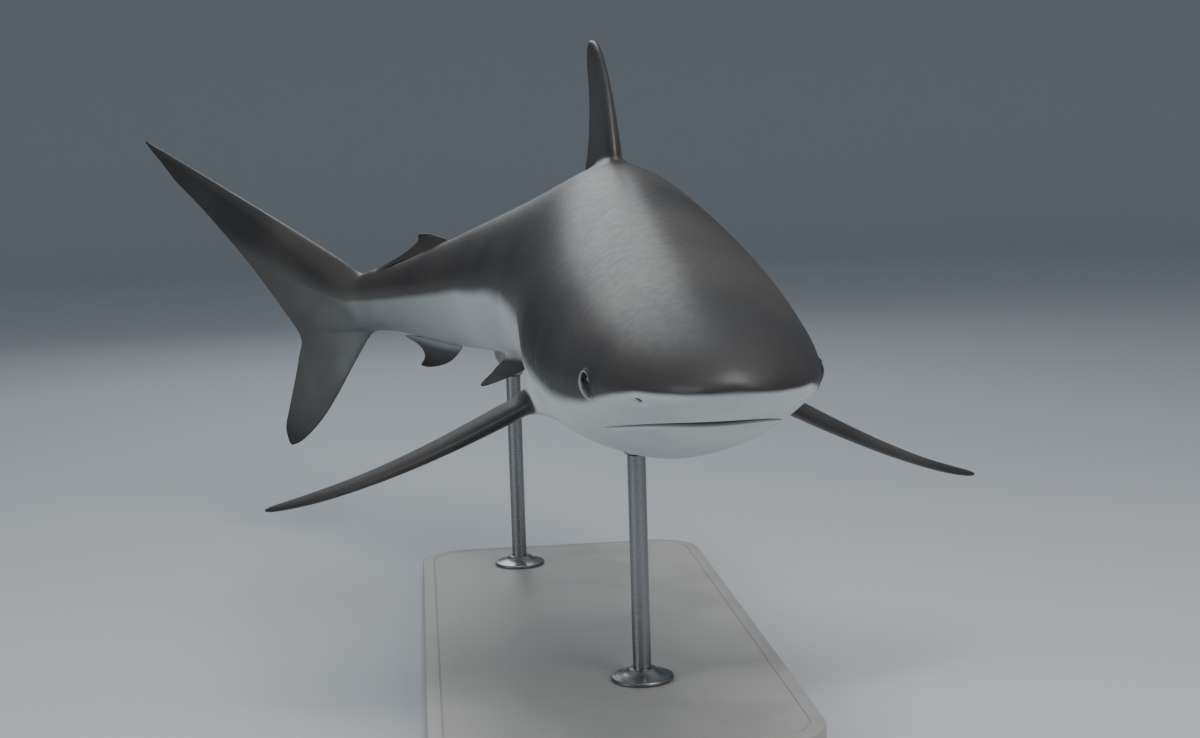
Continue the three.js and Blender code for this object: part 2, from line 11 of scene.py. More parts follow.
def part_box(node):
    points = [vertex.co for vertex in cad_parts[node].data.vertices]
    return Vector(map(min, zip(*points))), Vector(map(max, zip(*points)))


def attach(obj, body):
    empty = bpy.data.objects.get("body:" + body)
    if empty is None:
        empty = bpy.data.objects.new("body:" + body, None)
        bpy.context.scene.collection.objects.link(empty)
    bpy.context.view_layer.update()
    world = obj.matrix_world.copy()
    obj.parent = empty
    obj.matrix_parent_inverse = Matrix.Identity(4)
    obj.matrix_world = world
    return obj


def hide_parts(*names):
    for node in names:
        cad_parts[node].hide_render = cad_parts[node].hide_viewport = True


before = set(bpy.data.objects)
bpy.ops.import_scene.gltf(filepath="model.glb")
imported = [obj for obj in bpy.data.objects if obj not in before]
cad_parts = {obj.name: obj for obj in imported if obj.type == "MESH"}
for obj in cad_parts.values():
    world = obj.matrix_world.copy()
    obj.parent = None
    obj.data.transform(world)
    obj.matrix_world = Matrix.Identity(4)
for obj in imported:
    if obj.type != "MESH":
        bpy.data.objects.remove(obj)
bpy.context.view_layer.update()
scene = bpy.context.scene
print("frame loaded:", len(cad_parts), "nodes")


# Small helpers.

def smoothStep(low, high, value):
    t = min(max((value - low) / (high - low), 0.0), 1.0)
    return t * t * (3 - 2 * t)


def lerp(a, b, share):
    return a + (b - a) * share


def curveThrough(xs, ys, x):  # a smooth curve through points, read at x
    last = len(xs) - 1
    i = 0
    while i < last - 1 and x > xs[i + 1]:
        i += 1

    def slope(j):
        a, b = max(j - 1, 0), min(j + 1, last)
        return (ys[b] - ys[a]) / (xs[b] - xs[a])

    span = xs[i + 1] - xs[i]
    t = min(max((x - xs[i]) / span, 0.0), 1.0)
    return ((2 * t**3 - 3 * t**2 + 1) * ys[i] + (t**3 - 2 * t**2 + t) * span * slope(i)
            + (3 * t**2 - 2 * t**3) * ys[i + 1] + (t**3 - t**2) * span * slope(i + 1))


# The body: a spine that swings to the right and hangs a little, and sections along it.
body = {
    "length": 2.3,
    "snout": (0.040, -0.915, 0.470),
    "swing": (math.radians(48.6), 0.299, 0.803),  # angle, from, to
    "droop": (math.radians(-5.5), 0.35, 0.70),
    "roundTop": 1.8,  # 2 is an ellipse, and less is more peaked
    "steps": 400,
}
sections = [  # at, half width, top, bottom, height of the widest line, roundness below that
    (0, 0, 0, 0, 0, 2.2),
    (0.012, 0.0211, 0.0095, 0.0074, -0.0025, 2.2),
    (0.042, 0.0376, 0.0196, 0.0163, -0.0036, 2.15),
    (0.080, 0.0484, 0.0296, 0.0283, -0.0063, 2.0),
    (0.120, 0.0548, 0.0388, 0.0438, -0.0076, 1.92),
    (0.165, 0.0596, 0.0482, 0.0526, -0.0068, 1.85),
    (0.215, 0.0615, 0.0585, 0.0568, -0.0045, 2.1),
    (0.275, 0.0592, 0.0700, 0.0572, -0.0010, 2.25),
    (0.340, 0.0564, 0.0772, 0.0562, 0.0030, 2.25),
    (0.420, 0.0525, 0.0717, 0.0532, 0.0050, 2.25),
    (0.500, 0.0455, 0.0609, 0.0480, 0.0060, 2.25),
    (0.580, 0.0342, 0.0480, 0.0410, 0.0050, 2.25),
    (0.640, 0.0256, 0.0363, 0.0352, 0.0030, 2.25),
    (0.700, 0.0164, 0.0252, 0.0236, 0.0010, 2.25),
    (0.738, 0.0125, 0.0212, 0.0205, 0.0, 2.25),
]
sectionRoots = [math.sqrt(section[0]) for section in sections]
sectionColumns = dict(zip(("at", "half", "top", "bottom", "rim", "under"), zip(*sections)))


def bodySize(key, at):
    return curveThrough(sectionRoots, sectionColumns[key], math.sqrt(max(at, 0.0)))


def spineAxes(at):
    yaw = body["swing"][0] * smoothStep(*body["swing"][1:], at)
    pitch = body["droop"][0] * smoothStep(*body["droop"][1:], at)
    back = Vector((-math.sin(yaw) * math.cos(pitch), math.cos(yaw) * math.cos(pitch),
                   math.sin(pitch)))
    right = Vector((-math.cos(yaw), -math.sin(yaw), 0))
    return back, right, back.cross(right)


spinePoints = [Vector(body["snout"])]
for i in range(body["steps"]):
    forth = spineAxes((i + 0.5) / body["steps"])[0]
    spinePoints.append(spinePoints[-1] + forth * body["length"] / body["steps"])


def bodyPoint(at, right, up):
    x = min(max(at, 0.0), 1.0) * body["steps"]
    i = min(int(x), body["steps"] - 1)
    axes = spineAxes(at)
    middle = spinePoints[i].lerp(spinePoints[i + 1], x - i)
    return middle + (axes[1] * right + axes[2] * up) * body["length"]


def powered(value, power):
    return math.copysign(abs(value) ** (2 / power), value)


def sectionPlace(at, angle):  # right and up of the skin, at an angle round the section
    rim = bodySize("rim", at)
    over = math.sin(angle) > 0
    power = body["roundTop"] if over else bodySize("under", at)
    reach = bodySize("top", at) - rim if over else bodySize("bottom", at) + rim
    right = bodySize("half", at) * powered(math.cos(angle), power)
    return right, rim + reach * powered(math.sin(angle), power)


def sideOfBody(at, up):  # how far out the side lies at a height
    rim = bodySize("rim", at)
    over = up > rim
    power = body["roundTop"] if over else bodySize("under", at)
    reach = bodySize("top", at) - rim if over else bodySize("bottom", at) + rim
    share = min(abs(up - rim) / reach, 1.0)
    return bodySize("half", at) * (1 - share**power) ** (1 / power)


# The skin is cut from a flat pattern. A vertex's x counts columns round the body, its y
# counts rings from snout to tail, and its z counts the steps grown out (or sunk in).
columns = {"count": 32, "seam": 56.25, "back": 3, "belly": 19, "right": 27, "left": 11}
columnStep = 360 / columns["count"]


def columnAngle(x):
    return math.radians(columns["seam"] + columnStep * x)


mouth = {
    "front": 0.0545, "corner": 0.108, "half": 0.0395, "curve": 2.4,
    "drops": (0.0018, 0.0015, 0.0008),  # how far the lower jaw's rings hang open
}
gills = {"count": 5, "first": 0.167, "pitch": 0.0098, "open": 0.0009}


def mouthShare(angle):  # 0 at the mouth's middle, 1 at its corners, from the angle round
    share = 0.5
    for _ in range(12):
        at = lerp(mouth["front"], mouth["corner"], share)
        across = bodySize("half", at) * abs(math.cos(angle)) ** (2 / bodySize("under", at))
        share = min((across / mouth["half"]) ** mouth["curve"], 1.0)
    return share


# Rings ahead of the gills: on the side, by the mouth's corners, and on the belly's line.
rings = [(side, side, corner, belly) for side, corner, belly in (
    (0.0018, 0.0018, 0.0018),
    (0.0030, 0.0030, 0.0030),
    (0.0050, 0.0050, 0.0050),
    (0.0085, 0.0085, 0.0085),
    (0.0135, 0.0135, 0.0135),
    (0.0200, 0.0200, 0.0200),
    (0.0275, 0.0275, 0.0270),  # the nostrils lie between these two
    (0.0365, 0.0365, 0.0345),
    (0.0445, 0.0445, 0.0400),
    (0.0525, 0.0530, 0.0448),
    (0.0615, 0.0630, 0.0484),  # eyes
    (0.0725, 0.0760, 0.0508),
    (0.0835, 0.0890, 0.0524),
    (0.0970, 0.1060, 0.0535),  # upper lip
    (0.1130, 0.1100, 0.0588),  # lower lip
    (0.1280, 0.1215, 0.0730),
    (0.1420, 0.1350, 0.0950),
    (0.1540, 0.1480, 0.1200),
)]
lastPair = 2 * gills["count"] - 1
for i in range(lastPair + 1):
    edge = gills["open"] * (1 if i % 2 else -1)
    side = gills["first"] + (i // 2) * gills["pitch"] + edge
    rings.append((lerp(0.1645, 0.2085, i / lastPair), side, side, lerp(0.1400, 0.2050, i / lastPair)))
rings += [(at, at, at, at) for at in (
    0.2165, 0.2305, 0.2445, 0.2585, 0.2725,  # pectoral fins
    0.2900, 0.3150,
    0.3410, 0.3590, 0.3770, 0.3950, 0.4130, 0.4310,  # first dorsal fin
    0.4500, 0.4700,
    0.4900, 0.5045, 0.5190, 0.5330,  # pelvic fins
    0.5600, 0.5850, 0.6100,
    0.6360, 0.6465, 0.6570, 0.6675,  # second dorsal and anal fins
    0.6900, 0.7080, 0.7257,
)]
trunkEnd = len(rings) - 1


def ringAt(y, angle):  # how far back a ring lies, at an angle round the body
    top, side, corner, belly = rings[y]
    if math.sin(angle) > 0:
        return lerp(side, top, smoothStep(0.5, 0.9, math.sin(angle)))
    lower = lerp(belly, corner, mouthShare(angle))
    return lerp(side, lower, smoothStep(0.35, 0.72, -math.sin(angle)))


def ringNear(at):
    return min(range(len(rings)), key=lambda y: abs(rings[y][1] - at))


upperLip = ringNear(0.0970)


# Fins. `h` is the share of a fin's height, and x how far back a point lies from the front of
# the fin's root, in shares of the total length.
edgeHalf = 0.0011  # half the thickness left at a trailing edge


def foil(u):
    return 5 * (0.2969 * math.sqrt(u) - 0.126 * u - 0.3516 * u**2 + 0.2843 * u**3 - 0.1036 * u**4)


def finEdges(fin, h):  # where the leading and the trailing edge lie
    t = min(max((h - fin["tipFrom"]) / (1 - fin["tipFrom"]), 0.0), 1.0)
    rounding = (1 - math.sqrt(1 - t * t)) * fin["tip"] / 2
    front = (fin["lean"] - fin["tip"] / 2) * h - 4 * fin["bow"] * h * (1 - h) + rounding
    if h < fin["notch"]:
        return front, fin["base"] + fin["reach"] * math.sqrt(h / fin["notch"])
    k = (h - fin["notch"]) / (1 - fin["notch"])
    rear = lerp(fin["base"] + fin["reach"], fin["lean"] + fin["tip"] / 2, k)
    return front, rear - 4 * fin["hollow"] * k * (1 - k) - rounding


def midlinePlace(fin, x, h, off):
    behind = min(max((x - fin["base"]) / fin["reach"], 0.0), 1.0)
    key = "top" if fin["side"] > 0 else "bottom"
    foot = bodySize(key, fin["at"] + min(max(x, 0.0), fin["base"] + fin["reach"]))
    across = off / body["length"] + fin["flop"] * behind**2 - fin["skew"] * x + fin["heel"] * h
    up = fin["side"] * (foot - fin["droop"] * behind**2 + fin["height"] * h)
    return bodyPoint(fin["at"] + x, across, up)


def pairedPlace(fin, x, h, off):
    slope = fin["drop"] + fin["curl"] * h
    root = sideOfBody(fin["at"] + fin["base"] / 2, fin["up"]) - fin["inset"]
    normal = off / body["length"]
    out = root + fin["span"] * h * math.cos(slope) + normal * math.sin(slope)
    middle = lerp(fin["base"] / 2, fin["lean"], h)
    turn = (x - middle) * math.sin(fin["wash"] * h) - x * math.sin(fin["twist"])
    up = fin["up"] - fin["span"] * h * math.sin(slope) + turn
    return bodyPoint(fin["at"] + x, fin["side"] * out, up + normal * math.cos(slope))


# A fin's leading edge leans back by `lean` at the tip and swells forwards by `bow`. Its trailing
# edge is `hollow`, and its free rear tip lies `reach` behind the root, at the height `notch`. An
# upright fin turns to the left by `skew`, and its tip leans to the right by `heel`.
firstDorsal = {
    "at": 0.341, "side": 1, "height": 0.0763, "thick": 0.027, "thin": 0.72, "base": 0.09,
    "lean": 0.085, "bow": 0.0095, "hollow": 0.0125, "reach": 0.029, "tip": 0.0335,
    "tipFrom": 0.8, "notch": 0.08, "droop": 0, "flop": 0, "skew": 0.065, "heel": 0.0022,
    "place": midlinePlace,
    "rows": (0.035, 0.08, 0.17, 0.30, 0.45, 0.60, 0.73, 0.84, 0.92, 0.97, 0.997),
}
secondDorsal = {
    "at": 0.638, "side": 1, "height": 0.0135, "thick": 0.010, "thin": 0.72, "base": 0.029,
    "lean": 0.032, "bow": 0.001, "hollow": 0.018, "reach": 0.0455, "tip": 0.011,
    "tipFrom": 0.7, "notch": 0.14, "droop": 0.0035, "flop": 0.0068, "skew": 0, "heel": 0,
    "place": midlinePlace, "rows": (0.07, 0.14, 0.30, 0.48, 0.66, 0.82, 0.93, 0.99),
}
analFin = {
    "at": 0.634, "side": -1, "height": 0.0225, "thick": 0.011, "thin": 0.72, "base": 0.034,
    "lean": 0.046, "bow": 0.004, "hollow": 0.017, "reach": 0.028, "tip": 0.026,
    "tipFrom": 0.5, "notch": 0.12, "droop": 0, "flop": 0, "skew": 0, "heel": 0,
    "place": midlinePlace, "rows": (0.05, 0.12, 0.26, 0.42, 0.58, 0.72, 0.84, 0.93, 0.985),
}
pectoralFin = {
    "at": 0.2165, "up": -0.0245, "inset": 0.016, "span": 0.1655, "drop": math.radians(28),
    "curl": math.radians(-5.5), "twist": math.radians(6), "wash": math.radians(12),
    "thick": 0.026, "thin": 0.86, "base": 0.056, "lean": 0.115, "bow": 0.012, "hollow": 0.016,
    "reach": 0.022, "tip": 0.017, "tipFrom": 0.75, "notch": 0.22, "place": pairedPlace,
    "rows": (0.12, 0.165, 0.22, 0.31, 0.42, 0.54, 0.66, 0.77, 0.86, 0.93, 0.975, 0.997),
}
pelvicFin = {
    "at": 0.49, "up": -0.0405, "inset": 0.014, "span": 0.04, "drop": math.radians(26),
    "curl": 0, "twist": 0, "wash": 0, "thick": 0.010, "thin": 0.86, "base": 0.043, "lean": 0.033,
    "bow": 0.003, "hollow": 0.004, "reach": 0.016, "tip": 0.018, "tipFrom": 0.7,
    "notch": 0.35, "place": pairedPlace, "rows": (0.30, 0.45, 0.60, 0.75, 0.87, 0.95, 0.99),
}


def chordShare(k, count, step):  # how far along a row the vertex k lies
    even, closing = k / count, (1 - math.cos(math.pi * k / count)) / 2
    return lerp(even, closing, min(0.35 * step, 1.0))


def finPlace(fin, side, k, count, step):  # side is -1, 0 or 1 across the fin's thickness
    h = fin["rows"][step - 1]
    front, rear = finEdges(fin, h)
    chord = max(rear - front, 0.0015)
    thick = min(fin["thick"] * (1 - fin["thin"] * h), 0.3 * chord * body["length"])
    u = chordShare(k, count, step)
    if side and k in (0, count):
        u = 0.014 if k == 0 else 0.988
    off = side * (thick * foil(u) + min(edgeHalf, thick / 2) * u)
    return fin["place"](fin, front + u * chord, h, off)


# The tail fin. The body runs on into the upper lobe in slanting rings, from the lobe's upper
# edge to its lower one, and the lower lobe grows down from them ahead of the fork.
upperLobe = {
    "at": 0.736, "up": 0.0212, "along": 0.2176, "rise": 0.1246, "thick": 0.030,
    "bow": 0.0012, "bowPower": 0.7,
    "widths": ((0, 0.064), (0.157, 0.0686), (0.4, 0.0472), (0.53, 0.0364), (0.67, 0.0264),
               (0.77, 0.0196), (0.82, 0.0172), (0.87, 0.0124), (0.93, 0.0070), (0.97, 0.0034), (1, 0.001)),
    "tops": (0, 0.06, 0.13, 0.20, 0.28, 0.37, 0.46, 0.55, 0.64, 0.73, 0.81, 0.86, 0.91, 0.96, 1),
    "bottoms": (0.25, 0.36, 0.47, 0.59, 0.71, 0.81, 0.85, 0.90, 0.955, 1),
    "ridgeHalf": (0.0127, 0.0012), "ridgeDepth": (0.0209, 0.003), "ridgeEnd": 0.9,
}
lowerLobe = {
    "at": 0.7277, "up": -0.019, "along": 0.1005, "rise": -0.0870, "thick": 0.020,
    "bow": 0.0068, "bowPower": 1.7,
    "widths": ((0, 0.05), (0.49, 0.0496), (0.64, 0.0418), (0.764, 0.0337), (0.874, 0.0248),
               (0.95, 0.0172), (1, 0.0078)),
    "forkAt": 0.466, "rows": (0.05, 0.14, 0.27, 0.42, 0.57, 0.71, 0.83, 0.92, 0.97, 0.995),
}
fork = (0.8048, -0.0199)
forkRings = 5


def lobeAxis(lobe):  # how long a lobe is, and how far it runs back and up for each unit of that
    length = math.hypot(lobe["along"], lobe["rise"])
    return length, lobe["along"] / length, lobe["rise"] / length


def lobePlace(lobe, h, rear):  # a point on a lobe's leading or trailing edge, as at and up
    length, forth, climb = lobeAxis(lobe)
    x = -lobe["bow"] * math.sin(math.pi * h ** lobe["bowPower"])
    if rear:
        x += curveThrough(*zip(*lobe["widths"]), h)
    return (lobe["at"] + lobe["along"] * h + abs(climb) * x,
            lobe["up"] + lobe["rise"] * h - math.copysign(forth, climb) * x)


def tailRingPlace(i, k, side):  # vertex k of tail ring i, counted down from the upper edge
    h = upperLobe["tops"][i - 1]
    top = lobePlace(upperLobe, h, False)
    if i <= forkRings:
        along = (1 - math.cos(math.pi * i / forkRings)) / 2
        start = (rings[trunkEnd][1], -bodySize("bottom", rings[trunkEnd][1]))
        bottom = (lerp(start[0], fork[0], along), lerp(start[1], fork[1], along))
    else:
        bottom = lobePlace(upperLobe, upperLobe["bottoms"][i - forkRings - 1], True)
    angle = math.radians(90 - k * columnStep)
    half, height = sectionPlace(rings[trunkEnd][1], angle)
    above, below = bodySize("top", rings[trunkEnd][1]), bodySize("bottom", rings[trunkEnd][1])
    bladed = smoothStep(0, 4, i)
    last = columns["count"] // 2
    u = lerp((above - height) / (above + below), (1 - math.cos(math.pi * k / last)) / 2, bladed)
    chord = math.dist(top, bottom)
    shrink = 1 - max(1 - h / upperLobe["ridgeEnd"], 0) ** 1.6
    depth = lerp(*upperLobe["ridgeDepth"], shrink)
    ridge = lerp(*upperLobe["ridgeHalf"], shrink) * math.sqrt(max(1 - (u * chord / depth - 1) ** 2, 0))
    closed = min(i / forkRings, 1) ** 2  # the lower lobe goes on below the first rings
    thick = (upperLobe["thick"] * (1 - h) ** 1.2 + 0.004) / body["length"]
    blade = thick * foil(u * lerp(0.55, 1, closed)) + edgeHalf / body["length"] * u
    blade = (ridge**3 + min(blade, 0.2 * chord + 0.0002) ** 3) ** (1 / 3)
    right = 0 if k in (0, last) or i == len(upperLobe["tops"]) else side * lerp(half, blade, bladed)
    return bodyPoint(lerp(top[0], bottom[0], u), right, lerp(top[1], bottom[1], u))


def lowerLobePlace(side, k, count, step):
    h = lowerLobe["rows"][step - 1]
    front = lobePlace(lowerLobe, h, False)
    rear = lobePlace(lowerLobe, lerp(lowerLobe["forkAt"], 1, h), True)
    drawn = 0.42 * (1 - math.sqrt(1 - max(h / 0.1 - 9, 0) ** 2))  # the tip is round
    front, rear = [[lerp(a, b, drawn) for a, b in zip(*pair)] for pair in ((front, rear), (rear, front))]
    u = (1 - math.cos(math.pi * k / count)) / 2
    if side and k in (0, count):
        u = 0.014 if k == 0 else 0.988
    chord = math.dist(front, rear) * body["length"]
    thick = min(lowerLobe["thick"] * (1 - h) ** 1.2 + 0.004, 0.3 * chord)
    off = side * (thick * foil(u) + edgeHalf * u) / body["length"]
    return bodyPoint(lerp(front[0], rear[0], u), off, lerp(front[1], rear[1], u))


# What grows out of the pattern or sinks into it: the columns and rings of each root, and how
# many steps. `turn` says which side of the fin the higher column is.
def root(kind, middle, wide, first, last, steps, **more):
    return {"kind": kind, "x": (middle - wide, middle + wide), "y": (first, last),
            "middle": middle, "steps": steps, **more}


sides = (("right", columns["right"], 1), ("left", columns["left"], -1))
roots = [
    root("fin", columns["back"], 1, ringNear(0.341), ringNear(0.431), 11, fin=firstDorsal, turn=-1),
    root("fin", columns["back"], 1, ringNear(0.636), ringNear(0.6675), 8, fin=secondDorsal, turn=-1),
    root("fin", columns["belly"], 1, ringNear(0.636), ringNear(0.6675), 9, fin=analFin, turn=1),
    root("lobe", columns["belly"], 1, trunkEnd, trunkEnd + forkRings, 10, turn=1),
]
for name, flank, side in sides:
    roots += [
        root("fin", flank - 3 * side, 1, ringNear(0.2165), ringNear(0.2725), 12,
             fin={**pectoralFin, "side": side}, turn=side),
        root("fin", flank - 6 * side, 1, ringNear(0.490), ringNear(0.533), 7,
             fin={**pelvicFin, "side": side}, turn=side),
        root("eye", flank, 2, ringNear(0.0615), ringNear(0.0835), -7, side=side),
    ]
    roots.append(root("nostril", flank - 2 * side, 1, ringNear(0.0275), ringNear(0.0365), -3, side=side))
    for i in range(gills["count"]):
        first = ringNear(gills["first"] + i * gills["pitch"] - gills["open"])
        roots.append(root("gill", flank, 2, first, first + 1, -3, side=side))
roots.append(root("mouth", columns["belly"], 4, upperLip, upperLip + 1, -3, side=0))


# Sunken details.
eye = {
    "at": 0.0725, "up": -0.0055, "radius": 0.0132, "depth": 0.0095, "inset": 0.0082,
    "turn": math.radians(17), "tip": math.radians(11),  # forwards and downwards
    "loops": ((0.0175, 0.0000, 0.05), (0.0163, -0.0006, 0.15), (0.0150, 0.0001, 0.3),
              (0.0133, 0.0003, 0.5), (0.0116, -0.0028, 0.95), (0.0136, -0.0070, 1), (0.0105, -0.0180, 1)),
}


def eyeAxes(side):  # outwards, forwards and up
    back, right, up = spineAxes(eye["at"])
    out = right * side * math.cos(eye["turn"]) - back * math.sin(eye["turn"])
    forwards = -back * math.cos(eye["turn"]) - right * side * math.sin(eye["turn"])
    tipped = out * math.cos(eye["tip"]) - up * math.sin(eye["tip"])
    return tipped, forwards, up * math.cos(eye["tip"]) + out * math.sin(eye["tip"])


def eyeMiddle(side):
    out = bodySize("half", eye["at"]) - eye["inset"] / body["length"]
    return bodyPoint(eye["at"], side * out, eye["up"])


def headSurface(at, side, up):
    return bodyPoint(at, side * sideOfBody(at, up), up)


def eyePlace(rootOf, x, y, step):
    side = rootOf["side"]
    across, ahead = (x - rootOf["middle"]) * side, y - rootOf["y"][0] - 1
    radius, height, flat = eye["loops"][-step - 1]
    if abs(across) < 2 and ahead == 0:  # the back of the socket
        angle, radius = math.pi / 2, radius * across / 2
    else:
        stop = across if ahead < 0 else 3 if ahead == 0 else 6 - across
        if ahead == 0 and across < 0:
            stop = -3
        angle = math.radians(30 * stop)
    out, forwards, rise = eyeAxes(side)
    back, right, up = spineAxes(eye["at"])
    middle = eyeMiddle(side) + out * eye["inset"]
    flatPlace = middle + (forwards * math.cos(angle) + rise * math.sin(angle)) * radius
    shift = (middle - eyeMiddle(side)) / body["length"]
    at = eye["at"] + shift.dot(back) - radius * math.cos(angle) / body["length"]
    onSkin = headSurface(at, side, eye["up"] + shift.dot(up) + radius * math.sin(angle) / body["length"])
    return onSkin.lerp(flatPlace, flat) + out * height


# Slits: for each step the share of the opening's width that is left and how deep it lies, then
# which way it runs, as back, outwards and up. `end` is how deep its ends lie against its middle,
# and from the step `dark` inwards the slit is painted dark, as painted shade in the recess.
slits = {
    "mouth": {"steps": ((0.90, 0.0028), (0.60, 0.012), (0.30, 0.032)), "way": (0.86, 0, 0.5),
              "end": 0.35, "dark": -2},
    "gill": {"steps": ((0.62, 0.0020), (0.40, 0.0060), (0.20, 0.0110)), "way": (-0.45, -0.9, 0),
             "end": 0.5, "dark": -2},
    "nostril": {"steps": ((0.24, 0.0008), (0.14, 0.0030), (0.13, 0.0100)), "way": (0.3, -0.5, 0.8),
                "end": 1, "dark": -2, "draw": 0.55, "slant": 0.0085},
}


def slitPlace(rootOf, x, y, step):
    slit = slits[rootOf["kind"]]
    share, depth = slit["steps"][-step - 1]
    (x0, x1), (y0, y1) = rootOf["x"], rootOf["y"]
    here = skinPlace(x, y)
    middle = (skinPlace(x, y0) + skinPlace(x, y1)) / 2
    fromEnd = min(x - x0, x1 - x) / ((x1 - x0) / 2)
    reach = lerp(slit["end"], 1, smoothStep(0, 0.6, fromEnd))
    back, right, up = spineAxes(ringAt(y, columnAngle(x)))
    way = back * slit["way"][0] + right * rootOf["side"] * slit["way"][1] + up * slit["way"][2]
    if rootOf["kind"] == "nostril":  # a short slit, whose inner end lies further back
        centre = (skinPlace(rootOf["middle"], y0) + skinPlace(rootOf["middle"], y1)) / 2
        middle = middle.lerp(centre, slit["draw"])
        middle -= back * (x - rootOf["middle"]) * rootOf["side"] * slit["slant"]
    return middle + (here - middle) * share + way * depth * reach


def skinPlace(x, y):
    if y > trunkEnd:
        fromTop = (x - columns["back"]) % columns["count"]
        last = columns["count"] // 2
        k = min(fromTop, columns["count"] - fromTop)
        return tailRingPlace(y - trunkEnd, k, -1 if fromTop < last else 1)
    angle = columnAngle(x)
    at = ringAt(y, angle)
    right, up = sectionPlace(at, angle)
    if 0 < y - upperLip <= len(mouth["drops"]):
        up -= mouth["drops"][y - upperLip - 1] * max(-math.sin(angle), 0) ** 6
    return bodyPoint(at, right, up)


def rootOver(x, y):
    for entry in roots:
        if entry["x"][0] <= x <= entry["x"][1] and entry["y"][0] <= y <= entry["y"][1]:
            return entry
    return None


def placeOf(x, y, step):
    if step == 0:
        return skinPlace(x, y)
    entry = rootOver(x, y)
    if entry["kind"] in slits:
        return slitPlace(entry, x, y, step)
    if entry["kind"] == "eye":
        return eyePlace(entry, x, y, step)
    count = entry["y"][1] - entry["y"][0]
    side = (x - entry["middle"]) * entry["turn"]
    if entry["kind"] == "lobe":
        return lowerLobePlace(side, y - entry["y"][0], count, step)
    return finPlace(entry["fin"], side, y - entry["y"][0], count, step)


# Making the skin.

def selectOnly(piece):
    bpy.ops.object.select_all(action="DESELECT")
    piece.select_set(True)
    bpy.context.view_layer.objects.active = piece


def selectFaces(piece, wanted):  # leaves edit mode on, with the wanted faces selected
    selectOnly(piece)
    bpy.ops.object.mode_set(mode="EDIT")
    bpy.ops.mesh.select_mode(type="FACE")
    bpy.ops.mesh.select_all(action="DESELECT")
    bpy.ops.object.mode_set(mode="OBJECT")
    for face in piece.data.polygons:
        face.select = wanted(face)
    bpy.ops.object.mode_set(mode="EDIT")


def flatPattern():
    ringCount = trunkEnd + len(upperLobe["tops"])
    bpy.ops.object.select_all(action="DESELECT")
    bpy.ops.mesh.primitive_grid_add(x_subdivisions=columns["count"], y_subdivisions=ringCount, size=1)
    skin = bpy.context.object
    skin.name = "shark_skin"
    skin.scale = (columns["count"], ringCount, 1)
    skin.location = (columns["count"] / 2, ringCount / 2, 0)
    bpy.ops.object.transform_apply()
    for entry in roots:
        (x0, x1), (y0, y1) = entry["x"], entry["y"]
        selectFaces(skin, lambda face: abs(face.center.z) < 0.1 and abs(face.normal.z) > 0.5
                    and x0 < face.center.x < x1 and y0 < face.center.y < y1)
        step = 1 if entry["steps"] > 0 else -1
        for _ in range(abs(entry["steps"])):
            bpy.ops.mesh.extrude_region_move(TRANSFORM_OT_translate={"value": (0, 0, step)})
        bpy.ops.object.mode_set(mode="OBJECT")
    return skin


skin = flatPattern()
print("pattern cut:", len(skin.data.vertices), "vertices")


def markVertices(piece, name, values):
    piece.data.attributes.new(name, "FLOAT", "POINT").data.foreach_set("value", values)


def shapeSkin(skin):  # lifts the flat pattern onto the fish, and marks what its vertices are
    marks = {"sunkShade": [], "lid": [], "tipShare": [], "over": [], "fit": []}
    for v in skin.data.vertices:
        x, y, step = (round(c) for c in v.co)
        v.co = placeOf(x, y, step)
        entry = rootOver(x, y)
        kind = entry["kind"] if entry else "body"
        grown = kind in ("fin", "lobe") and step > 0
        paired = grown and kind == "fin" and "span" in entry["fin"]
        rows = lowerLobe["rows"] if kind == "lobe" else entry["fin"]["rows"] if grown else ()
        inSlit = kind in slits and step <= slits[kind]["dark"]
        atEnd = kind == "mouth" and x in entry["x"]
        # Painted shade: the inside of each slit and the back of the eye's socket are marked to be painted
        # dark.
        marks["sunkShade"].append(0.3 if inSlit and atEnd else float(inSlit or kind == "eye" and step <= -6))
        marks["lid"].append(float(kind == "eye" and step in (-4, -5)))
        marks["tipShare"].append(rows[step - 1] if grown else 0.0)
        behind = y - entry["y"][0] if paired else 0  # the dark of a paired fin wraps round its front
        above = (x - entry["middle"]) * entry["turn"] if paired else 0
        marks["over"].append(above + max(2.2 - 1.1 * behind, 0) * paired)
        marks["fit"].append(float(kind == "body" and y > 1 or grown and 2 <= step < len(rows)))
    for name, values in marks.items():
        markVertices(skin, name, values)


def closeSeams(skin):
    selectOnly(skin)
    bpy.ops.object.mode_set(mode="EDIT")
    bpy.ops.mesh.select_mode(type="VERT")
    bpy.ops.mesh.select_all(action="SELECT")
    bpy.ops.mesh.remove_doubles(threshold=1e-6)
    bpy.ops.object.mode_set(mode="OBJECT")


def snoutPlace(across, up):  # the place on the rounded tip that is seen at across and up
    low, high = 1e-7, rings[0][1]
    for _ in range(30):
        at = (low + high) / 2
        tall = max(bodySize("top", at), bodySize("bottom", at))
        if abs(up) < tall and abs(across) < sideOfBody(at, up):
            high = at
        else:
            low = at
    return bodyPoint(at, across, up)


def closeSnout(skin):  # a grid of faces over the first ring, drawn out onto the rounded tip
    before = len(skin.data.vertices)
    bpy.ops.object.mode_set(mode="EDIT")
    bpy.ops.mesh.select_all(action="DESELECT")
    bpy.ops.mesh.select_non_manifold(extend=False, use_wire=False, use_boundary=True,
                                     use_multi_face=False, use_non_contiguous=False, use_verts=False)
    bpy.ops.mesh.fill_grid(span=columns["count"] // 4, offset=4)
    bpy.ops.object.mode_set(mode="OBJECT")
    back, right, up = spineAxes(0)
    for v in skin.data.vertices[before:]:
        out = (v.co - Vector(body["snout"])) / body["length"]
        v.co = snoutPlace(out.dot(right), out.dot(up))


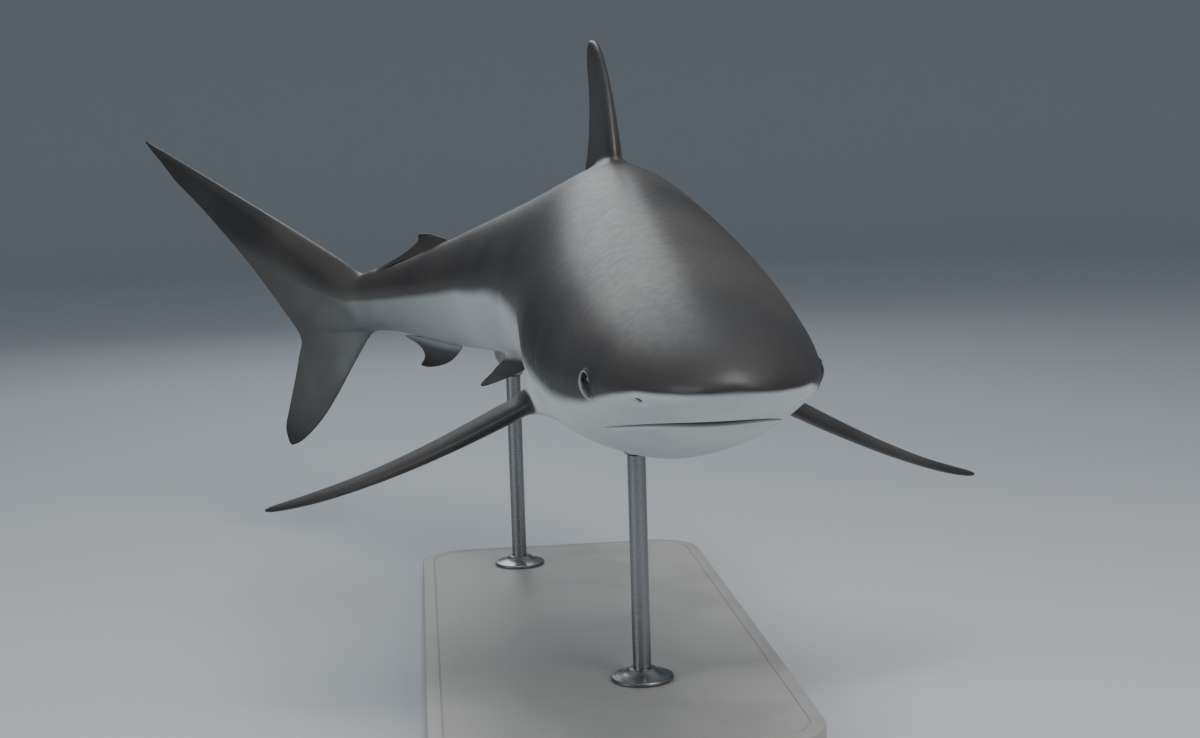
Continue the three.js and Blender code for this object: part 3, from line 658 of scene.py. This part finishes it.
def fitToPlaces(skin, rounds=3):  # moves the cage until the smooth surface runs through its places
    places = [v.co.copy() for v in skin.data.vertices]
    hold = [entry.value for entry in skin.data.attributes["fit"].data]
    for _ in range(rounds):
        smooth = skin.evaluated_get(bpy.context.evaluated_depsgraph_get()).data
        moves = [(place - smooth.vertices[i].co) * hold[i] for i, place in enumerate(places)]
        for v, move in zip(skin.data.vertices, moves):
            v.co += move
        skin.data.update()
        bpy.context.view_layer.update()


def smoothSkin(skin):
    smooth = skin.modifiers.new("smooth", "SUBSURF")
    smooth.levels = smooth.render_levels = 1
    fitToPlaces(skin)
    smooth.levels = smooth.render_levels = 2
    selectOnly(skin)
    bpy.ops.object.modifier_apply(modifier=smooth.name)
    bpy.ops.object.shade_smooth()


shapeSkin(skin)
closeSeams(skin)
closeSnout(skin)
smoothSkin(skin)
print("skin smoothed:", len(skin.data.polygons), "faces")

# Markings: the dark of the back ends `below` the widest line, over a height of `soft`.
shading = {
    "at": (0, 0.012, 0.030, 0.040, 0.060, 0.08, 0.10, 0.14, 0.20, 0.30, 0.42, 0.55, 0.65, 0.74, 0.80,
           0.90),
    "below": (0.0014, 0.0006, 0.0008, 0.0022, 0.0046, 0.0072, 0.0088, 0.0100, 0.0095, 0.0100, 0.0085,
              0.0045, 0.0018, -0.0003, -0.016, -0.060),
    "soft": (0.0010, 0.0010, 0.0011, 0.0012, 0.0015, 0.0020, 0.0030, 0.0055, 0.0080, 0.0090, 0.0070,
             0.0045, 0.0028, 0.0030, 0.0050, 0.0060),
    # `tail` lifts the pale side to grey: partly the tail fin's own grey, partly painted shade.
    "tail": ((0.60, -4), (0.62, -1.3), (0.70, -0.5), (0.745, 0.35), (0.84, 1.0)),
    "margin": 0.008,  # how wide the dark edge of the tail fin is
    "paired": (0.04, 0.0333),  # how far out a paired fin's own dark begins, and how soft
    "range": 4,
}


def placesOnFish(skin):  # how far back, right and up each vertex lies, in shares of the length
    places = np.empty(len(skin.data.vertices) * 3)
    skin.data.vertices.foreach_get("co", places)
    places = places.reshape(-1, 3)
    line = np.array(spinePoints)
    axes = np.array([spineAxes(i / body["steps"]) for i in range(body["steps"] + 1)])
    found = []
    for part in np.array_split(places, 12):
        near = ((part[:, None, :] - line[None]) ** 2).sum(2).argmin(1)
        away = np.einsum("nj,nkj->nk", part - line[near], axes[near]) / body["length"]
        found.append(np.column_stack((near / body["steps"] + away[:, 0], away[:, 1], away[:, 2])))
    return np.concatenate(found)


def readMark(skin, name):
    values = np.empty(len(skin.data.vertices))
    skin.data.attributes[name].data.foreach_get("value", values)
    return values


def insideLobe(lobe, at, up):  # how far in from a lobe's edges, below 0 outside it
    length, forth, climb = lobeAxis(lobe)
    h = ((at - lobe["at"]) * forth + (up - lobe["up"]) * climb) / length
    x = (at - lobe["at"]) * abs(climb) - (up - lobe["up"]) * math.copysign(forth, climb)
    front = -lobe["bow"] * np.sin(math.pi * np.clip(h, 0, 1) ** lobe["bowPower"])
    rear = front + [curveThrough(*zip(*lobe["widths"]), min(max(k, 0), 1)) for k in h]
    return np.where((h > 0.12) & (h < 1.05), np.minimum(x - front, rear - x), -1)


def markSkin(skin):
    at, right, up = placesOnFish(skin).T
    rims = np.array([bodySize("rim", a) for a in at])
    line = rims - np.interp(at, shading["at"], shading["below"])
    shade = (up - line) / np.interp(at, shading["at"], shading["soft"])
    over, tip = readMark(skin, "over"), readMark(skin, "tipShare")
    # The top side of a paired fin is dark, whatever the height that it lies at.
    begins, soft = shading["paired"]
    paired = np.clip((np.abs(right) - begins) / soft, 0, 1) * np.clip(tip * 8, 0, 1)
    isPaired = (tip > 0) & (np.abs(right) > 0.02) & (at < 0.6)
    shade = np.where(isPaired, shade * (1 - paired) + paired * (over * 4 + 0.6), shade)
    # The pelvic and anal fins: their dusky tips are their own colour, and the dark over the rest of them is
    # painted shade of their shaded undersides.
    rear = (tip > 0) & (up < 0) & (at > 0.45) & (at < 0.72)  # the pelvic and anal fins
    shade = np.where(rear, np.maximum(shade, tip * 7 - 1.2), shade)
    # The pale side darkens towards the tail fin, partly its own grey and partly painted shade; the tail
    # fin's edges are dark.
    shade = np.maximum(shade, np.interp(at, *zip(*shading["tail"])))
    inside = np.maximum(insideLobe(upperLobe, at, up), insideLobe(lowerLobe, at, up))
    margin = np.where((at > 0.74) & (inside > -1), 1 - np.clip(inside, 0, 1) / shading["margin"], 0)
    tip = np.maximum(np.where(rear, tip * 1.35, tip), margin)
    tip = np.maximum(tip, np.where(up > 0.01, np.clip((at - 0.77) / 0.09, 0, 0.92), 0))
    markVertices(skin, "tipShare", np.clip(tip, 0, 1))
    markVertices(skin, "shade", np.clip(shade, -shading["range"], shading["range"]))
    markVertices(skin, "along", at)


markSkin(skin)
print("markings placed")
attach(skin, "root")
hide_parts(*[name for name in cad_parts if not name.startswith(("stand_", "eye_"))])


# The eyes.

def faceOutwards(piece):
    selectOnly(piece)
    bpy.ops.object.mode_set(mode="EDIT")
    bpy.ops.mesh.select_all(action="SELECT")
    bpy.ops.mesh.normals_make_consistent(inside=False)
    bpy.ops.object.mode_set(mode="OBJECT")


def makeEye(name, side):
    bpy.ops.object.select_all(action="DESELECT")
    bpy.ops.mesh.primitive_uv_sphere_add(segments=48, ring_count=32, radius=1)
    ball = bpy.context.object
    ball.name = "eyeball_" + name
    out, forwards, rise = eyeAxes(side)
    for axis, i in (("across", 0), ("rise", 1)):
        markVertices(ball, axis, [v.co[i] * eye["radius"] for v in ball.data.vertices])
    for v in ball.data.vertices:
        x, y, z = v.co  # the sphere's pole looks out of the head
        v.co = eyeMiddle(side) + out * z * eye["depth"] + (forwards * x + rise * y) * eye["radius"]
    faceOutwards(ball)
    bpy.ops.object.shade_smooth()
    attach(ball, "root")
    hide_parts("eye_" + name)
    return ball


eyeballs = [makeEye(name, side) for name, flank, side in sides]
print("eyes set")


# The stand, with its axes and heights from the frame.
stand = {
    "corner": 0.070, "chamfer": 0.003,
    "groove": (0.014, 0.0010, 0.0012),  # how far in from the edge, how deep and how wide
    "foot": ((0.0368, 0.0002), (0.0380, 0.0012), (0.0380, 0.0036), (0.0371, 0.0046), (0.0290, 0.0062),
             (0.0215, 0.0092), (0.0175, 0.0122), (0.0160, 0.0136), (0.0145, 0.0140)),
    "cup": ((0.0130, 0.0003), (0.0146, 0.0012), (0.0150, 0.0040), (0.0166, 0.0100), (0.0214, 0.0200),
            (0.0262, 0.0270), (0.0276, 0.0296)),
    "screws": 3, "screwOut": 0.0275, "screwUp": 0.0064, "screwTurn": 0.5,
    "screw": ((0.0034, -0.0004), (0.0034, 0.0002), (0.0029, 0.0007)),
    "recess": (0.0014, 0.0002, 0.0010),  # how far in from the edge, its slope and its depth
    "rodChamfer": 0.0008, "cupRings": (0.0022, 0.0040, 0.0060), "cupGap": 0.0004,
    "sides": 64, "flat": 1e-5,  # heights closer than `flat` count as one
}


def boxMiddle(node):
    low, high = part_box(node)
    return (low.x + high.x) / 2, (low.y + high.y) / 2, low.z, high.z


def selectEdges(piece, wanted):  # leaves edit mode on, with the wanted edges selected
    selectOnly(piece)
    bpy.ops.object.mode_set(mode="EDIT")
    bpy.ops.mesh.select_mode(type="EDGE")
    bpy.ops.mesh.select_all(action="DESELECT")
    bpy.ops.object.mode_set(mode="OBJECT")
    for edge in piece.data.edges:
        edge.select = wanted(*(piece.data.vertices[v].co for v in edge.vertices))
    bpy.ops.object.mode_set(mode="EDIT")


def finishPiece(piece, node, angle=35):
    faceOutwards(piece)
    bpy.ops.object.shade_smooth_by_angle(angle=math.radians(angle))
    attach(piece, "root")
    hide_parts(node)
    return piece


def makeBase():
    low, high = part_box("stand_base")
    bpy.ops.object.select_all(action="DESELECT")
    bpy.ops.mesh.primitive_cube_add(size=1, location=(low + high) / 2)
    base = bpy.context.object
    base.name = "display_base"
    base.scale = high - low
    bpy.ops.object.transform_apply()
    selectEdges(base, lambda a, b: abs(a.z - b.z) > 0.01)
    bpy.ops.mesh.bevel(offset=stand["corner"], segments=16, affect="EDGES")
    bpy.ops.object.mode_set(mode="OBJECT")
    selectEdges(base, lambda a, b: abs(a.z - b.z) < stand["flat"])
    bpy.ops.mesh.bevel(offset=stand["chamfer"], segments=3, affect="EDGES")
    bpy.ops.object.mode_set(mode="OBJECT")
    selectFaces(base, lambda face: face.center.z > high.z - stand["flat"])
    inwards, deep, wide = stand["groove"]
    bpy.ops.mesh.inset(thickness=inwards)
    bpy.ops.mesh.inset(thickness=deep / 2, depth=-deep)
    bpy.ops.mesh.inset(thickness=wide)
    bpy.ops.mesh.inset(thickness=deep / 2, depth=deep)
    bpy.ops.object.mode_set(mode="OBJECT")
    return finishPiece(base, "stand_base", 25)


def drawUp(rise, wider, middle=(0, 0, 0)):  # extrudes what is selected, and widens its new end
    bpy.ops.mesh.extrude_region_move(TRANSFORM_OT_translate={"value": (0, 0, rise)})
    bpy.ops.transform.resize(value=(wider, wider, 1), center_override=middle)


def turnPiece(name, x, y, z, profile):  # a turned piece: a disc drawn up through a profile
    bpy.ops.object.select_all(action="DESELECT")
    bpy.ops.mesh.primitive_circle_add(vertices=stand["sides"], radius=profile[0][0], fill_type="NGON",
                                      location=(x, y, z + profile[0][1]))
    piece = bpy.context.object
    piece.name = name
    bpy.ops.object.transform_apply()
    bpy.ops.object.mode_set(mode="EDIT")
    bpy.ops.mesh.select_all(action="SELECT")
    for (wide, low), (wider, high) in zip(profile, profile[1:]):
        drawUp(high - low, wider / wide, (x, y, z + high))
    bpy.ops.object.mode_set(mode="OBJECT")
    return piece


def makeScrew(x, y, z):
    screw = turnPiece("screw", x, y, z, stand["screw"])
    top = z + stand["screw"][-1][1]
    selectFaces(screw, lambda face: face.center.z > top - stand["flat"])
    inwards, slope, deep = stand["recess"]
    bpy.ops.mesh.inset(thickness=inwards)
    bpy.ops.mesh.inset(thickness=slope, depth=-deep)
    bpy.ops.object.mode_set(mode="OBJECT")
    return screw


def makeFoot(place):
    x, y, low, high = boxMiddle("stand_foot_" + place)
    foot = turnPiece("foot_" + place, x, y, low, stand["foot"])
    out, up = stand["screwOut"], low + stand["screwUp"]
    screws = []
    for i in range(stand["screws"]):
        angle = math.tau * i / stand["screws"] + stand["screwTurn"]
        screws.append(makeScrew(x + out * math.cos(angle), y + out * math.sin(angle), up))
    selectOnly(foot)
    for screw in screws:
        screw.select_set(True)
    bpy.ops.object.join()
    return finishPiece(foot, "stand_foot_" + place)


def makeRod(place):
    x, y, low, high = boxMiddle("stand_rod_" + place)
    radius, height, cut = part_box("stand_rod_" + place)[1].x - x, high - low, stand["rodChamfer"]
    rod = turnPiece("rod_" + place, x, y, low, (
        (radius - cut, 0), (radius, cut), (radius, height - cut), (radius - cut, height)))
    return finishPiece(rod, "stand_rod_" + place)


def makeCup(place):  # its rim follows the belly
    x, y, low, high = boxMiddle("stand_cup_" + place)
    cup = turnPiece("cup_" + place, x, y, low, stand["cup"])
    top = low + stand["cup"][-1][1] - stand["flat"]
    selectFaces(cup, lambda face: face.center.z > top)
    for inwards in stand["cupRings"]:
        bpy.ops.mesh.inset(thickness=inwards)
    bpy.ops.object.mode_set(mode="OBJECT")
    for v in cup.data.vertices:
        if v.co.z > top:
            belly = skin.ray_cast((v.co.x, v.co.y, 0), (0, 0, 1))[1]
            v.co.z = belly.z - stand["cupGap"]
    return finishPiece(cup, "stand_cup_" + place)


standBase = makeBase()
steelPieces = [make(place) for place in ("front", "rear") for make in (makeFoot, makeRod, makeCup)]
print("stand made")


# The camera, the floor and the light.
view = {
    "place": (-0.2065, -2.2419, 0.6547),
    "turn": math.radians(-5.91), "down": math.radians(7.03), "roll": math.radians(-1.74),
    "lens": 51.57,
}


def addCamera():
    turn, down, roll = view["turn"], view["down"], view["roll"]
    ahead = Vector((-math.sin(turn) * math.cos(down), math.cos(turn) * math.cos(down), -math.sin(down)))
    across = Vector((math.cos(turn), math.sin(turn), 0))
    rise = across.cross(ahead)
    across, rise = (across * math.cos(roll) + rise * math.sin(roll),
                    rise * math.cos(roll) - across * math.sin(roll))
    lens = bpy.data.cameras.new("camera")
    lens.lens = view["lens"]
    lens.clip_end = 60
    camera = bpy.data.objects.new("camera", lens)
    scene.collection.objects.link(camera)
    camera.matrix_world = Matrix((
        (across.x, rise.x, -ahead.x, view["place"][0]),
        (across.y, rise.y, -ahead.y, view["place"][1]),
        (across.z, rise.z, -ahead.z, view["place"][2]),
        (0, 0, 0, 1)))
    scene.camera = camera


addCamera()

room = {
    "floor": (0.34, 0.365, 0.39), "floorRoughness": 0.7, "sky": (0.80, 0.87, 0.95), "skyStrength": 0.5,
    "radius": 9, "border": 0.5, "cove": 4, "coveSteps": 12, "wall": 6,
    "target": (0.0, -0.3, 0.45),  # where the lights aim
    "lights": (  # name, place, size, watts, colour
        ("overhead", (0.4, -1.7, 2.8), 2.6, 120, (1.0, 0.98, 0.96)),
        ("front_left", (2.2, -3.4, 2.2), 2.6, 46, (1.0, 0.97, 0.94)),
        ("right_side", (-3.2, -1.6, 1.4), 2.0, 48, (0.93, 0.97, 1.0)),
        ("behind", (-0.5, 3.6, 2.6), 2.0, 40, (0.95, 0.98, 1.0)),
    ),
}


def startMaterial(name):
    material = bpy.data.materials.new(name)
    material.use_nodes = True
    return material, material.node_tree, material.node_tree.nodes["Principled BSDF"]


def floorFinish():
    material, tree, shader = startMaterial("floor")
    shader.inputs["Base Color"].default_value = (*room["floor"], 1)
    shader.inputs["Roughness"].default_value = room["floorRoughness"]
    return material


def addRoom():
    bpy.ops.object.select_all(action="DESELECT")
    bpy.ops.mesh.primitive_circle_add(vertices=96, radius=room["radius"], fill_type="NGON")
    floor = bpy.context.object
    floor.name = "floor"
    bpy.ops.object.mode_set(mode="EDIT")
    bpy.ops.mesh.select_all(action="SELECT")
    bpy.ops.mesh.inset(thickness=room["border"])
    bpy.ops.object.mode_set(mode="OBJECT")
    selectEdges(floor, lambda a, b: min(a.length, b.length) > room["radius"] - 0.01)
    turns = [math.pi / 2 * i / room["coveSteps"] for i in range(room["coveSteps"] + 1)]
    heights = [room["cove"] * (1 - math.cos(turn)) for turn in turns]
    radii = [room["radius"] + room["cove"] * math.sin(turn) for turn in turns]
    for i in range(room["coveSteps"]):  # the floor curves up into a wall all round
        drawUp(heights[i + 1] - heights[i], radii[i + 1] / radii[i])
    drawUp(room["wall"], 1)
    bpy.ops.object.mode_set(mode="OBJECT")
    bpy.ops.object.shade_smooth()
    floor.data.materials.append(floorFinish())
    world = bpy.data.worlds.new("studio")
    world.use_nodes = True
    world.node_tree.nodes["Background"].inputs["Color"].default_value = (*room["sky"], 1)
    world.node_tree.nodes["Background"].inputs["Strength"].default_value = room["skyStrength"]
    scene.world = world
    for name, place, size, power, colour in room["lights"]:
        lamp = bpy.data.lights.new(name, "AREA")
        lamp.shape = "DISK"
        lamp.size = size
        lamp.energy = power
        lamp.color = colour
        light = bpy.data.objects.new(name, lamp)
        light.location = place
        aim = Vector(room["target"]) - Vector(place)
        light.rotation_euler = aim.to_track_quat("-Z", "Y").to_euler()
        scene.collection.objects.link(light)


addRoom()


# Finishes.

def addNode(tree, kind, settings=None, **inputs):  # an input is a value, or a socket to link
    node = tree.nodes.new("ShaderNode" + kind)
    for key, value in (settings or {}).items():
        setattr(node, key, value)
    for key, value in inputs.items():
        slot = node.inputs[int(key[1:])] if key[1:].isdigit() else node.inputs[key.replace("_", " ")]
        if isinstance(value, bpy.types.NodeSocket):
            tree.links.new(value, slot)
        else:
            slot.default_value = value
    return node.outputs[0]


def noise(tree, where, scale, detail=3.0):
    return addNode(tree, "TexNoise", Vector=where, Scale=scale, Detail=detail)


def ramp(tree, value, low, high, toLow=0.0, toHigh=1.0):  # a soft step from low to high
    return addNode(tree, "MapRange", {"interpolation_type": "SMOOTHSTEP"}, Value=value,
                   From_Min=low, From_Max=high, To_Min=toLow, To_Max=toHigh)


def figure(tree, operation, a, b):
    return addNode(tree, "Math", {"operation": operation}, i0=a, i1=b)


def blend(tree, share, a, b):  # colours a and b, mixed
    node = tree.nodes.new("ShaderNodeMix")
    node.data_type = "RGBA"
    for slot, value in ((0, share), (6, a), (7, b)):
        if isinstance(value, bpy.types.NodeSocket):
            tree.links.new(value, node.inputs[slot])
        else:
            node.inputs[slot].default_value = value if slot == 0 else (*value, 1)
    return node.outputs[2]


def mark(tree, name):
    node = tree.nodes.new("ShaderNodeAttribute")
    node.attribute_name = name
    return node.outputs["Fac"]


def objectPlace(tree):
    return tree.nodes.new("ShaderNodeTexCoord").outputs["Object"]


def bump(tree, height, strength, distance, normal=None):
    inputs = {"Strength": strength, "Distance": distance, "Height": height}
    if normal:
        inputs["Normal"] = normal
    return addNode(tree, "Bump", **inputs)


hide = {
    "back": (0.0195, 0.019, 0.0195), "backWarm": (0.037, 0.0345, 0.033), "flank": (0.076, 0.075, 0.073),
    "belly": (0.60, 0.62, 0.62), "bellyDull": (0.45, 0.47, 0.48), "tips": (0.013, 0.0125, 0.013),
    # "inside" is painted shade, the near-black of the slits and of the eye's socket.
    "lid": (0.34, 0.35, 0.35), "inside": (0.010, 0.008, 0.008), "pores": (0.022, 0.020, 0.020),
    # The rear belly colour is painted shade, the pale belly darkening towards the tail.
    "bellyRearShade": (0.22, 0.245, 0.25),
    "cloud": (5.0, 2.0), "speckle": (110.0, 4.0), "ragged": (14.0, 3.0),  # scale and detail
    "raggedness": 0.9, "poreScale": 150.0, "roughness": (0.46, 0.56),
    "specular": 0.25, "coat": 0.14, "coatRoughness": 0.3,
    "grain": ((900.0, 2.0), 0.10, 0.0005), "unevenness": ((30.0, 3.0), 0.06, 0.002),  # then strength, depth
}


def skinFinish():
    material, tree, shader = startMaterial("shark_skin")
    where = objectPlace(tree)
    shade, along = mark(tree, "shade"), mark(tree, "along")
    broad, fine = noise(tree, where, *hide["cloud"]), noise(tree, where, *hide["speckle"])
    wobble = figure(tree, "SUBTRACT", noise(tree, where, *hide["ragged"]), 0.5)
    edge = figure(tree, "ADD", shade, figure(tree, "MULTIPLY", wobble, hide["raggedness"]))
    back = blend(tree, ramp(tree, broad, 0.35, 0.68), hide["back"], hide["backWarm"])
    back = blend(tree, ramp(tree, fine, 0.3, 0.9, 0, 0.3), back, hide["back"])
    onFlank = figure(tree, "MULTIPLY", ramp(tree, edge, 4.0, 0.2), ramp(tree, along, 0.12, 0.30))
    back = blend(tree, figure(tree, "MULTIPLY", onFlank, 0.75), back, hide["flank"])
    belly = blend(tree, ramp(tree, broad, 0.3, 0.75), hide["belly"], hide["bellyDull"])
    # Painted shade: the pale belly darkens towards the tail.
    belly = blend(tree, ramp(tree, along, 0.48, 0.70), belly, hide["bellyRearShade"])
    colour = blend(tree, ramp(tree, edge, -1.0, 1.0), belly, back)
    tips = figure(tree, "MULTIPLY", ramp(tree, mark(tree, "tipShare"), 0.60, 0.98), 0.8)
    colour = blend(tree, tips, colour, hide["tips"])
    dots = addNode(tree, "TexVoronoi", Vector=where, Scale=hide["poreScale"])
    dots = figure(tree, "MULTIPLY", ramp(tree, dots, 0.16, 0.08), ramp(tree, along, 0.085, 0.02, 0, 0.35))
    colour = blend(tree, dots, colour, hide["pores"])
    colour = blend(tree, ramp(tree, mark(tree, "lid"), 0.35, 0.95), colour, hide["lid"])
    # Painted shade: the slits and the eye's socket are painted dark inside.
    colour = blend(tree, ramp(tree, mark(tree, "sunkShade"), 0.0, 0.7), colour, hide["inside"])
    tree.links.new(colour, shader.inputs["Base Color"])
    tree.links.new(ramp(tree, fine, 0.25, 0.8, *hide["roughness"]), shader.inputs["Roughness"])
    shader.inputs["Specular IOR Level"].default_value = hide["specular"]
    shader.inputs["Coat Weight"].default_value = hide["coat"]
    shader.inputs["Coat Roughness"].default_value = hide["coatRoughness"]
    relief = None
    for pattern, strength, depth in (hide["grain"], hide["unevenness"]):
        relief = bump(tree, noise(tree, where, *pattern), strength, depth, relief)
    tree.links.new(relief, shader.inputs["Normal"])
    return material


iris = {"pupil": (0.0046, 0.0088), "radius": 0.0113, "dark": (0.003, 0.003, 0.003),
        "colour": (0.022, 0.020, 0.015), "rim": (0.006, 0.006, 0.006), "roughness": 0.07, "specular": 0.28}


def eyeFinish():
    material, tree, shader = startMaterial("eye_gloss")
    across, rise = mark(tree, "across"), mark(tree, "rise")
    wide = figure(tree, "POWER", figure(tree, "DIVIDE", across, iris["pupil"][0]), 2.0)
    tall = figure(tree, "POWER", figure(tree, "DIVIDE", rise, iris["pupil"][1]), 2.0)
    slit = ramp(tree, figure(tree, "ADD", wide, tall), 1.15, 0.85)
    out = figure(tree, "SQRT", figure(tree, "ADD", figure(tree, "POWER", across, 2.0),
                                      figure(tree, "POWER", rise, 2.0)), 0.0)
    turned = figure(tree, "ARCTAN2", rise, across)
    fibres = addNode(tree, "TexNoise", {"noise_dimensions": "1D"}, W=turned, Scale=14.0, Detail=4.0)
    colour = blend(tree, ramp(tree, fibres, 0.35, 0.7, 0, 0.6), iris["colour"], iris["rim"])
    colour = blend(tree, ramp(tree, out, iris["radius"] * 0.72, iris["radius"]), colour, iris["rim"])
    colour = blend(tree, slit, colour, iris["dark"])
    tree.links.new(colour, shader.inputs["Base Color"])
    shader.inputs["Roughness"].default_value = iris["roughness"]
    shader.inputs["Specular IOR Level"].default_value = iris["specular"]
    return material


steel = {"dark": (0.20, 0.205, 0.21), "bright": (0.31, 0.315, 0.32), "roughness": (0.24, 0.40),
         "lines": (40.0, 40.0, 1400.0)}  # how closely the brushed lines lie across, along and up


def steelFinish():
    material, tree, shader = startMaterial("brushed_steel")
    where = addNode(tree, "Mapping", Vector=objectPlace(tree), Scale=steel["lines"])
    lines = noise(tree, where, 1.0, 4.0)
    tree.links.new(blend(tree, lines, steel["dark"], steel["bright"]), shader.inputs["Base Color"])
    tree.links.new(ramp(tree, lines, 0.2, 0.8, *steel["roughness"]), shader.inputs["Roughness"])
    tree.links.new(bump(tree, lines, 0.06, 0.0003), shader.inputs["Normal"])
    shader.inputs["Metallic"].default_value = 1.0
    return material


paintedWood = {"dark": (0.250, 0.246, 0.238), "pale": (0.285, 0.281, 0.272),
               "grain": (0.215, 0.211, 0.203), "stretch": (160.0, 7.0, 160.0), "roughness": (0.40, 0.50)}


def baseFinish():
    material, tree, shader = startMaterial("base_paint")
    where = objectPlace(tree)
    grain = addNode(tree, "Mapping", Vector=where, Scale=paintedWood["stretch"])
    grain, mottle = noise(tree, grain, 1.0, 5.0), noise(tree, where, 9.0, 3.0)
    colour = blend(tree, ramp(tree, mottle, 0.3, 0.7), paintedWood["dark"], paintedWood["pale"])
    colour = blend(tree, ramp(tree, grain, 0.55, 0.85, 0, 0.35), colour, paintedWood["grain"])
    tree.links.new(colour, shader.inputs["Base Color"])
    tree.links.new(ramp(tree, mottle, 0.3, 0.7, *paintedWood["roughness"]), shader.inputs["Roughness"])
    tree.links.new(bump(tree, grain, 0.10, 0.0006), shader.inputs["Normal"])
    return material


for pieces, material in (([skin], skinFinish()), (eyeballs, eyeFinish()),
                         ([standBase], baseFinish()), (steelPieces, steelFinish())):
    for piece in pieces:
        piece.data.materials.append(material)
print("finishes on")
